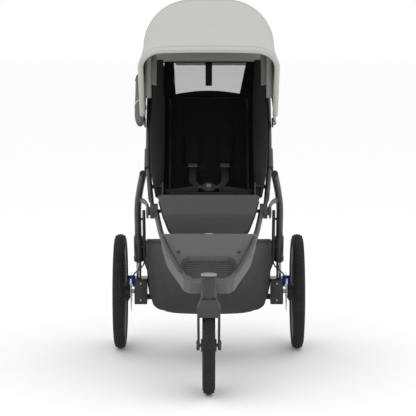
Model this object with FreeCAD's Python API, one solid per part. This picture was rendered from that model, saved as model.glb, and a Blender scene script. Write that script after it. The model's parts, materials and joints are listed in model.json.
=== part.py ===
import FreeCAD, Part
import math
import os
from FreeCAD import Vector as V

# Three-wheeled jogging stroller. Millimetres, +Z up, the front faces -Y, and +X is the stroller's left side.
# The origin is on the floor, midway between the front of the front tyre and the back of the handlebar.

# ---- driving dimensions ----
LENGTH = 1148.0
REAR_R = 200.0            # 16 inch rear tyre
FRONT_R = 152.0           # 12 inch front tyre
TYRE_HALF = 21.5          # half of a tyre's width, and its section's radius
TRACK_HALF = 309.5        # middle plane of a rear wheel
WHEELBASE = 780.0
TRAIL = 88.0              # the steering axis stands this far ahead of the front axle

FRONT_Y = -LENGTH / 2 + FRONT_R
REAR_Y = FRONT_Y + WHEELBASE
STEER_Y = FRONT_Y - TRAIL

HUB_Y, HUB_Z = -2.0, 523.0        # the fold pivot that the front, upper and rear frames share
HUB_R = 25.0
PIN_R = 6.0
RUNNING = 0.05                    # radial clearance of a pin that turns

TUBE_X, TUBE_DEEP = 9.0, 14.0     # half-axes of the oval frame tubes
UPPER_X = 205.0                   # upper tubes, middle
HANDLE_Y, HANDLE_Z = 440.0, 968.0  # handlebar pivot
GRIP_R = 17.0
BAR_R = 11.0
BAR_Y, BAR_Z = LENGTH / 2 - GRIP_R, 1000.0

CANOPY_Y, CANOPY_Z = 228.0, 800.0  # canopy pivot
BOW_R = 4.5
BOW_PIN_R = 5.0
FABRIC = 2.5
PANEL_GAP = 1.2                   # between a bow and the cloth over it

SEAT_X = 146.0                    # half-width of the cushions
BIGHT_Y, BIGHT_Z = 218.0, 520.0   # where backrest and seat meet, and the backrest's hinge
BACK_LEAN = 60.0                  # backrest's slope above the horizontal, degrees

LEG_X = 243.0                     # rear legs and shock absorbers
SHOCK_TILT = (115.0, -290.0)      # direction of the shock absorbers in Y and Z
DISC_X, DISC_R, DISC_HALF = 271.0, 70.0, 1.0
AXLE_R = 8.0
CABLE_R = 2.5

SHAPES = {}


# ---- helpers ----
def keep(name, *solids):
    """Stores solids as one named node."""
    flat = [s for shape in solids for s in shape.Solids]
    SHAPES[name] = flat[0] if len(flat) == 1 else Part.makeCompound(flat)
    return SHAPES[name]


def mirrored(shape):
    return shape.mirror(V(0, 0, 0), V(1, 0, 0))


def both(shape):
    """A left-hand solid and its mirror image."""
    return [shape, mirrored(shape)]


def block(x0, x1, y0, y1, z0, z1):
    return Part.makeBox(x1 - x0, y1 - y0, z1 - z0, V(x0, y0, z0))


def rod(a, b, radius):
    a, b = V(*a), V(*b)
    return Part.makeCylinder(radius, (b - a).Length, a, b - a)


def disc_x(x0, x1, y, z, radius):
    return Part.makeCylinder(radius, x1 - x0, V(x0, y, z), V(1, 0, 0))


def prism_x(points, x0, x1):
    """A polygon of (y, z) points pushed along X."""
    wire = Part.makePolygon([V(x0, y, z) for y, z in [*points, points[0]]])
    return Part.Face(wire).extrude(V(x1 - x0, 0, 0))


def prism_y(points, y0, y1):
    """A polygon of (x, z) points pushed along Y."""
    wire = Part.makePolygon([V(x, y0, z) for x, z in [*points, points[0]]])
    return Part.Face(wire).extrude(V(0, y1 - y0, 0))


def prism_z(points, z0, z1):
    """A polygon of (x, y) points pushed along Z."""
    wire = Part.makePolygon([V(x, y, z0) for x, y in [*points, points[0]]])
    return Part.Face(wire).extrude(V(0, 0, z1 - z0))


def bent_path(points, share=0.42, radii=None):
    """Straight runs joined by tangent arcs: of the given radii, or as large as the runs beside them allow."""
    p = [V(*q) for q in points]
    edges, start = [], p[0]
    for i in range(1, len(p) - 1):
        into, out = p[i] - p[i - 1], p[i + 1] - p[i]
        reach = share * min(into.Length, out.Length)
        turn = into.getAngle(out)
        if radii:
            reach = radii[i - 1] * math.tan(turn / 2)
        into.normalize()
        out.normalize()
        a, b = p[i] - into * reach, p[i] + out * reach
        middle = p[i] + (out - into).normalize() * reach * math.tan(turn / 4)
        edges += [Part.LineSegment(start, a).toShape(), Part.Arc(a, middle, b).toShape()]
        start = b
    edges.append(Part.LineSegment(start, p[-1]).toShape())
    return Part.Wire(edges)


def tube(points, across, deep=None, share=0.42, radii=None):
    """A round or oval bar along a bent path. across is the half-width along X, deep the other half-width."""
    path = bent_path(points, share, radii)
    start, along = V(*points[0]), V(*points[1]) - V(*points[0])
    along.normalize()
    if deep is None:
        ring = Part.makeCircle(across, start, along)
        return Part.Wire(path).makePipeShell([Part.Wire(ring)], True, True)
    side = (V(1, 0, 0) - along * along.x).normalize()
    up = along.cross(side)
    major, minor = (side * across, up * deep) if across > deep else (up * deep, side * across)
    ring = Part.Ellipse(start + major, start + minor, start).toShape()
    return Part.Wire(path).makePipeShell([Part.Wire(ring)], True, False)


def turned(points, centre, axis_x=True):
    """A profile of (x, radius) points turned about an X axis through centre (y, z)."""
    y, z = centre
    wire = Part.makePolygon([V(x, y, z + r) for x, r in [*points, points[0]]])
    return Part.Face(wire).revolve(V(0, y, z), V(1, 0, 0), 360)


def along(a, b, share):
    return tuple(p + (q - p) * share for p, q in zip(a, b))


def polar(y, z, radius, degrees):
    """A (y, z) point at an angle measured from +Y towards +Z."""
    a = math.radians(degrees)
    return y + radius * math.cos(a), z + radius * math.sin(a)


def rounded(shape, radius, picker):
    return shape.makeFillet(radius, [e for e in shape.Edges if picker(e)])


def long_edges(axis):
    """Picks straight edges that run along an axis, given as a unit vector."""
    def pick(e):
        if e.Curve.TypeId != "Part::GeomLine":
            return False
        d = (e.Vertexes[1].Point - e.Vertexes[0].Point).normalize()
        return abs(d.dot(V(*axis))) > 0.999
    return pick


# ---- wheels ----
def wheel_tyre(x, y, radius):
    """A foam-filled tyre: a ring of round section with a flat seat for the rim."""
    ring = Part.makeTorus(radius - TYRE_HALF, TYRE_HALF, V(x, y, radius), V(1, 0, 0))
    return ring.cut(disc_x(x - TYRE_HALF - 1, x + TYRE_HALF + 1, y, radius, radius - 34))


def wheel_rim(x, y, radius):
    seat, inner = radius - 34, radius - 50
    profile = [(-12, inner + 3), (-8, inner), (8, inner), (12, inner + 3), (15, seat), (-15, seat)]
    return turned([(x + a, r) for a, r in profile], (y, radius))


def wheel_spokes(x, y, radius, pairs, hub_r, hub_half):
    """A hub with pairs of flat spokes that end on the rim's inner face."""
    inner = radius - 50
    hub = disc_x(x - hub_half, x + hub_half, y, radius, hub_r)
    spread = 9.0
    for pair in range(pairs):
        middle = 90 + pair * 360 / pairs
        for side in (-1, 1):
            a0, a1 = middle + side * 16, middle + side * spread
            root = V(x, *polar(y, radius, hub_r - 6, a0))
            tip = V(x, *polar(y, radius, inner + 6, a1))
            run = (tip - root).normalize()
            flat = run.cross(V(1, 0, 0)) * 4.0
            thick = V(6.0, 0, 0)
            corners = [root - flat - thick, root + flat - thick, root + flat + thick, root - flat + thick]
            face = Part.Face(Part.makePolygon([*corners, corners[0]]))
            hub = hub.fuse(face.extrude(tip - root))
    return hub.common(disc_x(x - 40, x + 40, y, radius, inner)).removeSplitter()


def rear_wheel(side):
    """The nodes of the left rear wheel, mirrored for the right one."""
    x, y, z = TRACK_HALF, REAR_Y, REAR_R
    place = (lambda s: s) if side == "left" else mirrored
    bore = disc_x(x - 40, x + 18, y, z, AXLE_R + RUNNING)
    spokes = wheel_spokes(x, y, REAR_R, 6, 27.0, 17.0).fuse(wheel_rim(x, y, REAR_R))
    flange = disc_x(x - 33.5, x - 17, y, z, 26)
    for lobe in range(6):
        ly, lz = polar(y, z, 25, lobe * 60)
        flange = flange.fuse(disc_x(x - 31, x - 19, ly, lz, 10))
    carrier = disc_x(DISC_X + DISC_HALF, x - 33.5, y, z, 24)
    hub = spokes.fuse(flange).fuse(carrier).removeSplitter().cut(bore)
    keep("rear_tyre_" + side, place(wheel_tyre(x, y, REAR_R)))
    keep("rear_wheel_casting_" + side, place(hub))
    disc = disc_x(DISC_X - DISC_HALF, DISC_X + DISC_HALF, y, z, DISC_R)
    disc = disc.cut(disc_x(DISC_X - 5, DISC_X + 5, y, z, 10))
    for slot in range(6):
        sy, sz = polar(y, z, 38, 30 + slot * 60)
        disc = disc.cut(disc_x(DISC_X - 5, DISC_X + 5, sy, sz, 10))
    keep("brake_disc_" + side, place(disc))


# ---- front frame: tubes, platform, head tube ----
FRONT_PATH = [(174, HUB_Y, HUB_Z), (149, -205, 455), (72, -432, 352)]


def front_tubes():
    shape = tube(FRONT_PATH, TUBE_X, 12.0)
    knuckle = disc_x(168, 180, HUB_Y, HUB_Z, HUB_R)
    shape = shape.fuse(knuckle).cut(disc_x(150, 200, HUB_Y, HUB_Z, PIN_R)).removeSplitter()
    return shape.cut(block(180.3, 200, HUB_Y - 78, HUB_Y + 60, HUB_Z - 80, HUB_Z + 60))


HEAD_R, HEAD_LOW, HEAD_TOP = 23.5, 313.0, 384.0
STEERER_R = 14.0


def head_tube():
    """The steering head, with a tongue that reaches back into the platform."""
    post = Part.makeCylinder(HEAD_R, HEAD_TOP - HEAD_LOW, V(0, STEER_Y, HEAD_LOW))
    tongue = block(-20, 20, STEER_Y, -452, HEAD_LOW + 8, HEAD_TOP - 22)
    bore = Part.makeCylinder(STEERER_R + 0.06, HEAD_TOP - HEAD_LOW - 6, V(0, STEER_Y, HEAD_LOW))
    return post.fuse(tongue).cut(bore).removeSplitter()


# plan outline (x, y) and side profile (y, z) of the moulded footrest platform
PLATFORM_PLAN = [(151, -196), (118, -318), (92, -400), (78, -450), (56, -477), (24, -484)]
PLATFORM_TOP = [(-196, 472), (-262, 412), (-478, 358), (-486, 350)]
PLATFORM_UNDER = [(-486, 326), (-470, 322), (-262, 378), (-196, 430)]
WELL_PLAN = [(64, -272), (84, -300), (90, -345), (70, -420), (46, -448)]
WELL_DEPTH = 16.0


def slope_at(y, line):
    for (y0, z0), (y1, z1) in zip(line, line[1:]):
        if y1 <= y <= y0:
            return z0 + (z1 - z0) * (y - y0) / (y1 - y0)
    return line[-1][1]


def mirrored_plan(half):
    return half + [(-x, y) for x, y in reversed(half)]


def platform(tubes, head):
    shell = prism_z(mirrored_plan(PLATFORM_PLAN), 300, 480)
    shell = rounded(shell, 12.0, lambda e: long_edges((0, 0, 1))(e) and e.CenterOfMass.y < -440)
    body = shell.common(prism_x(PLATFORM_TOP + PLATFORM_UNDER, -160, 160))
    well = prism_z(mirrored_plan(WELL_PLAN), 300, 480)
    floor = [(y, z - WELL_DEPTH) for y, z in [(-240, slope_at(-240, PLATFORM_TOP)), (-262, 412), (-478, 358)]]
    above = prism_x([*floor, (-478, 480), (-240, 480)], -160, 160)
    body = body.cut(well.common(above))
    for solid in (*tubes, head):
        body = body.cut(solid)
    return max(body.Solids, key=lambda s: s.Volume)


def footwell_mat():
    """A ribbed grip pad lying in the well."""
    inset = [(x * 0.95, -350 + (y + 350) * 0.95) for x, y in WELL_PLAN]
    plate = prism_z(mirrored_plan(inset), 300, 480)
    low = [(y, slope_at(y, PLATFORM_TOP) - WELL_DEPTH) for y in (-262, -478)]
    high = [(y, z + 3.0) for y, z in reversed(low)]
    return plate.common(prism_x(low + high, -160, 160))


def leg_flap():
    """The calf rest that hangs from the seat's front edge down to the platform."""
    line = [(-54, 590), (-93, 516), (-128, 462)]
    sheet = prism_x(line + [(y - 9, z - 3) for y, z in reversed(line)], -180, 180)
    outline = prism_y([(172, 600), (148, 516), (128, 450), (-128, 450), (-148, 516), (-172, 600)], -200, 0)
    return sheet.common(outline)


# basket sections: y, half-width at the rim, half-width at the floor, rim height, floor height
BASKET = [(322, 214, 206, 384, 170), (205, 200, 186, 399, 150), (0, 168, 128, 424, 236), (-192, 124, 92, 436, 338)]
BASKET_WALL = 4.0


def basket_section(y, rim, floor, top, low, inset=0.0, rise=0.0):
    points = [
        (rim - inset, top + rise), (floor + 6 - inset, low + 26), (floor - 18 - inset, low + inset),
        (-(floor - 18 - inset), low + inset), (-(floor + 6 - inset), low + 26), (-(rim - inset), top + rise),
    ]
    return Part.makePolygon([V(x, y, z) for x, z in [*points, points[0]]])


def basket():
    outer = Part.makeLoft([basket_section(*s) for s in BASKET], True, True)
    first, last = BASKET[0], BASKET[-1]
    inner = [(first[0] - BASKET_WALL, *first[1:]), *BASKET[1:-1], (last[0] + BASKET_WALL, *last[1:])]
    hollow = Part.makeLoft([basket_section(*s, inset=BASKET_WALL, rise=20) for s in inner], True, True)
    return outer.cut(hollow)


def pivot_tube():
    """The cross tube through the fold pivot, with a turned-down pin and a head at each end."""
    pin = disc_x(-202, 202, HUB_Y, HUB_Z, PIN_R)
    middle = disc_x(-150, 150, HUB_Y, HUB_Z, 9)
    heads = [disc_x(202, 206, HUB_Y, HUB_Z, 12), disc_x(-206, -202, HUB_Y, HUB_Z, 12)]
    return pin.fuse(middle).fuse(heads[0]).fuse(heads[1]).removeSplitter()


def front_frame():
    tubes = both(front_tubes())
    head = head_tube()
    keep("front_tubes", *tubes)
    keep("head_tube", head)
    knob = Part.makeCylinder(24, 5.4, V(0, STEER_Y, HEAD_TOP))
    keep("swivel_lock_knob", rounded(knob, 2.0, lambda e: e.CenterOfMass.z > HEAD_TOP + 5))
    keep("footrest_platform", platform(tubes, head))
    keep("footwell_mat", footwell_mat())
    screws = []
    for x in (-96, 96):
        y = -252.0
        z = slope_at(y, PLATFORM_TOP)
        normal = V(0, -0.673, 0.740)
        screws.append(Part.makeCylinder(5, 2.2, V(x, y, z), normal))
    keep("platform_screws", *screws)
    keep("leg_flap", leg_flap())
    keep("storage_basket", basket())
    keep("main_pivot_tube", pivot_tube())


# ---- fork and front wheel ----
FORK_HALF, FORK_GAP = 35.4, 28.0
CROWN_TOP = 312.5


def fork():
    """Two flat legs that sweep back from the crown to the axle, cut clear of the tyre."""
    profile = [
        (-534, CROWN_TOP), (-546, 298), (-549, 276), (-541, 252), (-437, 146), (-428, 138), (-414, 139),
        (-407, 150), (-410, 162), (-474, 268), (-484, 296), (-486, CROWN_TOP),
    ]
    body = prism_x(profile, -FORK_HALF, FORK_HALF)
    front = [(24, CROWN_TOP), (FORK_HALF, 286), (FORK_HALF, 120)]
    body = body.common(prism_y(front + [(-x, z) for x, z in reversed(front)], -600, -380))
    body = body.cut(disc_x(-FORK_GAP, FORK_GAP, FRONT_Y, FRONT_R, FRONT_R + 9))
    body = body.cut(disc_x(-50, 50, FRONT_Y, FRONT_R, PIN_R))
    neck = Part.makeCylinder(HEAD_R, 12, V(0, STEER_Y, CROWN_TOP - 12))
    return body.fuse(neck).removeSplitter()


def fork_group():
    steerer = Part.makeCylinder(STEERER_R, 62, V(0, STEER_Y, CROWN_TOP))
    keep("fork", fork().fuse(steerer).removeSplitter())
    axle = disc_x(-FORK_HALF, FORK_HALF, FRONT_Y, FRONT_R, PIN_R)
    for head in both(disc_x(FORK_HALF, FORK_HALF + 5.6, FRONT_Y, FRONT_R, 10)):
        axle = axle.fuse(head)
    keep("front_axle", axle.removeSplitter())
    x, y = 0.0, FRONT_Y
    casting = wheel_spokes(x, y, FRONT_R, 5, 20.0, 24.0).fuse(wheel_rim(x, y, FRONT_R))
    keep("front_tyre", wheel_tyre(x, y, FRONT_R))
    keep("front_wheel_casting", casting.removeSplitter().cut(disc_x(-40, 40, y, FRONT_R, PIN_R + RUNNING)))


# ---- upper frame: tubes, collars, seat ----
UPPER_PATH = [(187, HUB_Y, HUB_Z), (203, 112, 652), (UPPER_X, 262, 812), (UPPER_X, 419, 950)]


def upper_tubes():
    shape = tube(UPPER_PATH, TUBE_X, TUBE_DEEP, 0.35)
    knuckle = disc_x(181, 193, HUB_Y, HUB_Z, HUB_R)
    ear = prism_x([(402, 950), (420, 932), (452, 956), (436, 988)], 190, 202)
    ear = ear.fuse(disc_x(190, 202, HANDLE_Y, HANDLE_Z, 22))
    shape = shape.fuse(knuckle).fuse(ear)
    shape = shape.cut(disc_x(202.3, 230, HANDLE_Y, HANDLE_Z, 24))
    shape = shape.cut(disc_x(150, 200, HUB_Y, HUB_Z, PIN_R + RUNNING))
    shape = shape.cut(disc_x(185, 210, HANDLE_Y, HANDLE_Z, PIN_R))
    shape = max(shape.Solids, key=lambda s: s.Volume)
    shape = shape.cut(block(150, 180.7, -60, 60, 480, 560))
    return shape.cut(block(193.4, 215, -60, 34, 480, 580))


def collars(tubes):
    """Moulded sleeves round the upper tubes, where the rear legs' tops latch."""
    a, b = V(203, 110, 650), V(204, 163, 707)
    path = Part.Wire([Part.LineSegment(a, b).toShape()])
    run = (b - a).normalize()
    up = run.cross(V(1, 0, 0)).normalize()
    profile = Part.Wire([Part.Ellipse(a + up * 21, a + V(15, 0, 0), a).toShape()])
    sleeve = path.makePipeShell([profile], True, False)
    sleeve = sleeve.cut(block(216, 240, 60, 200, 600, 760))
    return [s.cut(t) for s, t in zip(both(sleeve), tubes)]


def seat_brackets():
    """Side plates that carry the seat bars, each tied to its upper tube by a spacer."""
    plate = prism_x([(-42, 540), (-24, 560), (40, 566), (74, 610), (92, 610), (96, 560), (196, 524), (196, 504)], 151.5, 157)
    plate = plate.cut(disc_x(150, 160, HUB_Y, HUB_Z, 9.6))
    spacer = disc_x(157, 188, 78, 596, 7)
    return plate.fuse(spacer).removeSplitter()


def seat_bars():
    return [disc_x(-151.5, 151.5, -28, 549, 8), disc_x(-151.5, 151.5, 188, 513, 8)]


SEAT_TOP = [(-50, 590), (190, 551)]
SEAT_LOW = [(-50, 562), (190, 525)]


def seat_pad():
    body = prism_x([*SEAT_TOP, *reversed(SEAT_LOW)], -SEAT_X, SEAT_X)
    return rounded(body, 9.0, lambda e: e.CenterOfMass.z > 545 or abs(e.CenterOfMass.x) > SEAT_X - 1)


def seat_base():
    low = [(y, z - 3.6) for y, z in SEAT_LOW]
    top = [(y, z - 0.4) for y, z in SEAT_LOW]
    plate = prism_x([*top, *reversed(low)], -149, 149)
    for bar in seat_bars():
        plate = plate.cut(bar)
    return max(plate.Solids, key=lambda s: s.Volume)


def back_point(distance, depth=0.0):
    """A (y, z) point up the backrest's front face from the bight, and depth behind that face."""
    y, z = polar(BIGHT_Y, BIGHT_Z, distance, BACK_LEAN)
    return polar(y, z, depth, BACK_LEAN - 90)


BACK_LENGTH = 428.0


def back_slab(x, d0, d1, near, far):
    points = [back_point(d0, near), back_point(d1, near), back_point(d1, far), back_point(d0, far)]
    return prism_x(points, -x, x)


def backrest_group():
    pad = back_slab(SEAT_X - 4, 34, BACK_LENGTH, 0, 26)
    keep("backrest_pad", rounded(pad, 9.0, lambda e: True))
    board = back_slab(SEAT_X - 6, 14, BACK_LENGTH - 8, 26.4, 31)
    keep("backrest_board", board)
    pads = []
    for x in (-57, 57):
        points = [back_point(150, -3), back_point(262, -3), back_point(262, -18), back_point(150, -18)]
        pad = prism_x(points, x - 27, x + 27)
        pads.append(rounded(pad, 6.0, lambda e: True))
    keep("shoulder_pads", *pads)


def band(points, x0, x1, thick):
    """A flat strap between x0 and x1 whose side view follows (y, z) points."""
    lower = []
    for i, (y, z) in enumerate(points):
        a, b = points[max(i - 1, 0)], points[min(i + 1, len(points) - 1)]
        dy, dz = b[0] - a[0], b[1] - a[1]
        size = math.hypot(dy, dz)
        lower.append((y - dz / size * thick, z + dy / size * thick))
    return prism_x([*points, *reversed(lower)], x0, x1)


BUCKLE = (44.0, 594.0)


def harness():
    top = back_point(146, -6)
    straps = []
    for side in (-1, 1):
        upper = [top, back_point(110, -14), (140, 622), (86, 606)]
        x = side * 55
        straps.append(band(upper, x - 12, x + 12, -2.0))
    keep("shoulder_straps", *straps)
    belts = []
    for side in (-1, 1):
        points = [(side * 38, 62), (side * 142, 92), (side * 142, 116), (side * 38, 86)]
        belt = prism_z(points, 560, 640)
        belts.append(belt.common(prism_x([(50, 597), (130, 584), (130, 582), (50, 595)], -150, 150)))
    crotch = prism_x([(56, 575), (62, 575), (52, 587), (46, 587)], -14, 14)
    keep("waist_harness", *belts, crotch)
    y, z = BUCKLE
    out = V(0, -0.55, 0.83).normalize()
    centre = V(0, y, z)
    shell = Part.makeCylinder(22, 12, centre - out * 4.5, out)
    for side in (-1, 1):
        ear = Part.makeBox(18, 30, 8, V(18 if side > 0 else -36, y - 4, z))
        shell = shell.fuse(ear)
    button_hole = Part.makeCylinder(9.25, 30, centre - out * 1.6, out)
    keep("buckle", shell.removeSplitter().cut(button_hole))
    keep("buckle_button", Part.makeCylinder(9, 11, centre + out * 2, out))


# each station: the wall's front edge and its back edge, as (y, z, outer x)
WING = [
    ((10, 568, 164), (190, 540, 164)), ((8, 636, 170), (297, 601, 160)), ((56, 668, 180), (337, 670, 158)),
    ((150, 760, 187), (377, 740, 158)), ((238, 842, 189), (415, 805, 158)), ((330, 922, 189), (452, 905, 160)),
    ((404, 990, 187), (446, 990, 164)),
]
WING_THICK = 6.0


def side_wings():
    """Padded fabric walls that curve from the upper tubes back to the backrest's sides."""
    sections = []
    for (fy, fz, fx), (by, bz, bx) in WING:
        ring = [V(fx, fy, fz), V(bx, by, bz), V(bx - WING_THICK, by, bz), V(fx - WING_THICK, fy, fz)]
        sections.append(Part.makePolygon([*ring, ring[0]]))
    wall = Part.makeLoft(sections, True, True).cut(disc_x(150, 200, 78, 596, 9))
    return both(wall)


def window():
    """The mesh panel above the backrest, between its top edge and the canopy's back."""
    points = [(back_point(BACK_LENGTH + 4, 12)), (452, 996), (455, 995), (back_point(BACK_LENGTH + 2, 16))]
    sheet = prism_x(points, -152, 152)
    return sheet


POCKET = [(222, 772), (306, 846), (386, 916), (366, 932), (344, 934), (262, 864), (208, 812), (204, 784)]
POCKET_X = (-252.0, -233.2)


def side_pocket():
    """A pouch outside the hood's bows, with a tab that reaches the right upper tube behind them."""
    outer, inner = POCKET_X
    pouch = prism_x(POCKET, outer, inner)
    pouch = rounded(pouch, 6.0, lambda e: e.CenterOfMass.x < outer + 1)
    tab = prism_x([(300, 841), (386, 916), (368, 929), (318, 884)], inner - 1, -214.6)
    return pouch.fuse(tab).removeSplitter().cut(block(outer + 2.7, inner - 2.7, 318, 362, 896, 960))


def upper_frame():
    tubes = both(upper_tubes())
    keep("upper_tubes", *tubes)
    keep("latch_collars", *collars(tubes))
    keep("seat_side_brackets", *both(seat_brackets()))
    keep("seat_cross_bars", *seat_bars())
    keep("seat_base", seat_base())
    keep("seat_pad", seat_pad())
    keep("side_wings", *side_wings())
    keep("mesh_window", window())
    harness()
    keep("handlebar_pins", *both(disc_x(186, 216.8, HANDLE_Y, HANDLE_Z, PIN_R)))
    clip = disc_x(214.4, 219, CANOPY_Y, CANOPY_Z, 17)
    pivot = disc_x(219, 229, CANOPY_Y, CANOPY_Z, BOW_PIN_R)
    keep("canopy_clips", *both(clip.fuse(pivot).removeSplitter()))
    keep("side_pocket", side_pocket())



# ---- handlebar ----
def handlebar_group():
    corner = 52.0
    y1, z1 = HANDLE_Y + 26, HANDLE_Z + 7
    bar = tube([(209, y1, z1), (209, BAR_Y, BAR_Z), (-209, BAR_Y, BAR_Z), (-209, y1, z1)], BAR_R - 2, None, 0.45)
    for side in (-1, 1):
        x0, x1 = (202.6, 215) if side > 0 else (-215, -202.6)
        knuckle = disc_x(x0, x1, HANDLE_Y, HANDLE_Z, 22)
        neck = prism_x([(448, 960), (474, 970), (470, 986), (440, 984)], x0, x1)
        bar = bar.fuse(knuckle.fuse(neck))
    bar = bar.cut(disc_x(202, 230, HANDLE_Y, HANDLE_Z, PIN_R + RUNNING))
    bar = bar.cut(disc_x(-230, -202, HANDLE_Y, HANDLE_Z, PIN_R + RUNNING)).removeSplitter()
    keep("handlebar", bar)
    sleeve = disc_x(-118, 209 - corner - 6, BAR_Y, BAR_Z, GRIP_R)
    sleeve = rounded(sleeve, 4.0, lambda e: True).cut(bar)
    keep("handlebar_grip", sleeve)
    button = rounded(disc_x(218.3, 224, HANDLE_Y, HANDLE_Z, 12), 1.8, lambda e: e.CenterOfMass.x > 223.5)
    keep("height_buttons", *both(button))
    y0 = BAR_Y - 36
    clamp = disc_x(-146, -124, BAR_Y, BAR_Z, BAR_R + 2)
    for z0, z1 in ((BAR_Z - 12, BAR_Z - 6.5), (BAR_Z + 6.5, BAR_Z + 12)):
        clamp = clamp.fuse(block(-146, -124, y0 - 9, BAR_Y, z0, z1))
    clamp = clamp.cut(bar)
    pivot = Part.makeCylinder(2.5, 24, V(-135, y0, BAR_Z - 12))
    keep("brake_lever_bracket", clamp.fuse(pivot).removeSplitter())
    blade = [(-142, y0 - 7), (-128, y0 + 5), (-112, y0 - 3), (-22, y0 - 5), (-18, y0 - 10), (-22, y0 - 15), (-112, y0 - 14)]
    lever = prism_z(blade, BAR_Z - 6, BAR_Z + 6).fuse(Part.makeCylinder(8, 12, V(-135, y0, BAR_Z - 6)))
    keep("brake_lever", lever.removeSplitter().cut(Part.makeCylinder(2.5 + RUNNING, 20, V(-135, y0, BAR_Z - 10))))


# ---- canopy ----
# each bow: angle of its plane, half-width at its foot, half-width above, reach, corner radius, foot plate's x
BOWS = {
    "rear": (55.0, 224.0, 206.0, 424.0, 150.0, 219.4),
    "mid": (87.2, 224.0, 213.0, 408.0, 152.0, 222.0),
    "front": (129.2, 224.0, 225.0, 322.0, 74.0, 224.6),
}
BOW_FOOT = 50.0


def arch_points(bow, grow=0.0, foot=BOW_FOOT, steps=8):
    """Half of a bow's outline as (x, reach) points, from its foot to the middle of its top."""
    low, wide, reach, corner = bow[1] + grow, bow[2] + grow, bow[3] + grow, bow[4] + grow
    points = [(low, foot), (wide, reach - corner)]
    for i in range(1, steps + 1):
        a = math.radians(90 * i / steps)
        points.append((wide - corner + corner * math.cos(a), reach - corner + corner * math.sin(a)))
    return points


def on_plane(angle, x, reach):
    y, z = polar(CANOPY_Y, CANOPY_Z, reach, angle)
    return V(x, y, z)


def bow(name):
    """A round bow in a plane through the pivot, with a flat plate at each foot that turns on the clip's pin."""
    angle, low, wide, reach, corner, plate_x = BOWS[name]
    half = [(low, BOW_FOOT), (wide, reach - corner - 40), (wide, reach)]
    route = half + [(-x, r) for x, r in reversed(half)]
    shape = tube([on_plane(angle, x, r) for x, r in route], BOW_R, radii=[300, corner, corner, 300])
    a, b = polar(CANOPY_Y, CANOPY_Z, BOW_FOOT + 8, angle), math.radians(angle)
    across = (-4 * math.sin(b), 4 * math.cos(b))
    corners = [
        (CANOPY_Y - across[0], CANOPY_Z - across[1]), (a[0] - across[0], a[1] - across[1]),
        (a[0] + across[0], a[1] + across[1]), (CANOPY_Y + across[0], CANOPY_Z + across[1]),
    ]
    plate = prism_x(corners, plate_x, plate_x + 2.2).fuse(disc_x(plate_x, plate_x + 2.2, CANOPY_Y, CANOPY_Z, 9))
    for foot in both(plate):
        shape = shape.fuse(foot)
    return shape.removeSplitter().cut(disc_x(-240, 240, CANOPY_Y, CANOPY_Z, BOW_PIN_R + RUNNING))


def panel(name_a, name_b, trim_a=0.2, trim_b=0.2, foot=76.0):
    """A taut sheet from one bow to the next, just outside both."""
    wires = []
    for name, trim in ((name_a, trim_a), (name_b, -trim_b)):
        shape = BOWS[name]
        angle = shape[0] + trim
        outer = arch_points(shape, BOW_R + PANEL_GAP + FABRIC, foot)
        inner = arch_points(shape, BOW_R + PANEL_GAP, foot)
        outer = outer + [(-x, r) for x, r in reversed(outer)]
        inner = inner + [(-x, r) for x, r in reversed(inner)]
        loop = [on_plane(angle, x, r) for x, r in outer] + [on_plane(angle, x, r) for x, r in reversed(inner)]
        wires.append(Part.makePolygon([*loop, loop[0]]))
    return Part.makeLoft(wires, True, True)


def back_panel():
    """The canopy's flat back, from the rear bow down to the mesh window."""
    angle = BOWS["rear"][0]
    outline = arch_points((0, 194, 184, 411, 107), 0, 300)
    top, bottom = on_plane(angle, 0, 411), V(0, 458, 999)
    sheet = []
    for x, r in outline + [(-x, r) for x, r in reversed(outline)]:
        share = (r - 300) / (411 - 300)
        point = bottom + (top - bottom) * share
        sheet.append(V(x, point.y, point.z))
    face = Part.Face(Part.makePolygon([*sheet, sheet[0]]))
    normal = (top - bottom).cross(V(1, 0, 0)).normalize()
    return face.extrude(normal * -FABRIC)


def canopy_group():
    for name in BOWS:
        keep("canopy_bow_" + name, bow(name))
    keep("canopy_panel_rear", panel("rear", "mid"))
    keep("canopy_panel_front", panel("mid", "front"))
    keep("canopy_back", back_panel())


# ---- rear legs, shock absorbers and axle ----
def shock_axis(z):
    """The y at which the shock absorber's axis crosses a height."""
    return 215.0 + (530.0 - z) * SHOCK_TILT[0] / -SHOCK_TILT[1]


def shock_point(z):
    return LEG_X, shock_axis(z), z


HOUSING_TOP, HOUSING_LOW = 405.0, 316.0
SHOCK_R = 9.0


def rear_legs():
    leg = tube([(221, 134, 634), (232, 176, 585), shock_point(520), shock_point(HOUSING_TOP)], 12.0, 16.0, 0.45)
    arm = tube([(197.7, HUB_Y + 8, HUB_Z - 2), (198, 46, 522), (212, 120, 539), (238, 205, 541)], 3.6, 9.0, 0.3)
    knuckle = disc_x(194, 201.4, HUB_Y, HUB_Z, 14)
    leg = leg.fuse(arm).fuse(knuckle)
    leg = leg.cut(disc_x(180, 201.9, HUB_Y, HUB_Z, PIN_R + RUNNING))
    leg = leg.cut(block(150, 193.8, -60, 60, 480, 600)).cut(block(201.6, 207, -60, 20, 480, 600))
    return max(leg.Solids, key=lambda s: s.Volume)


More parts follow.
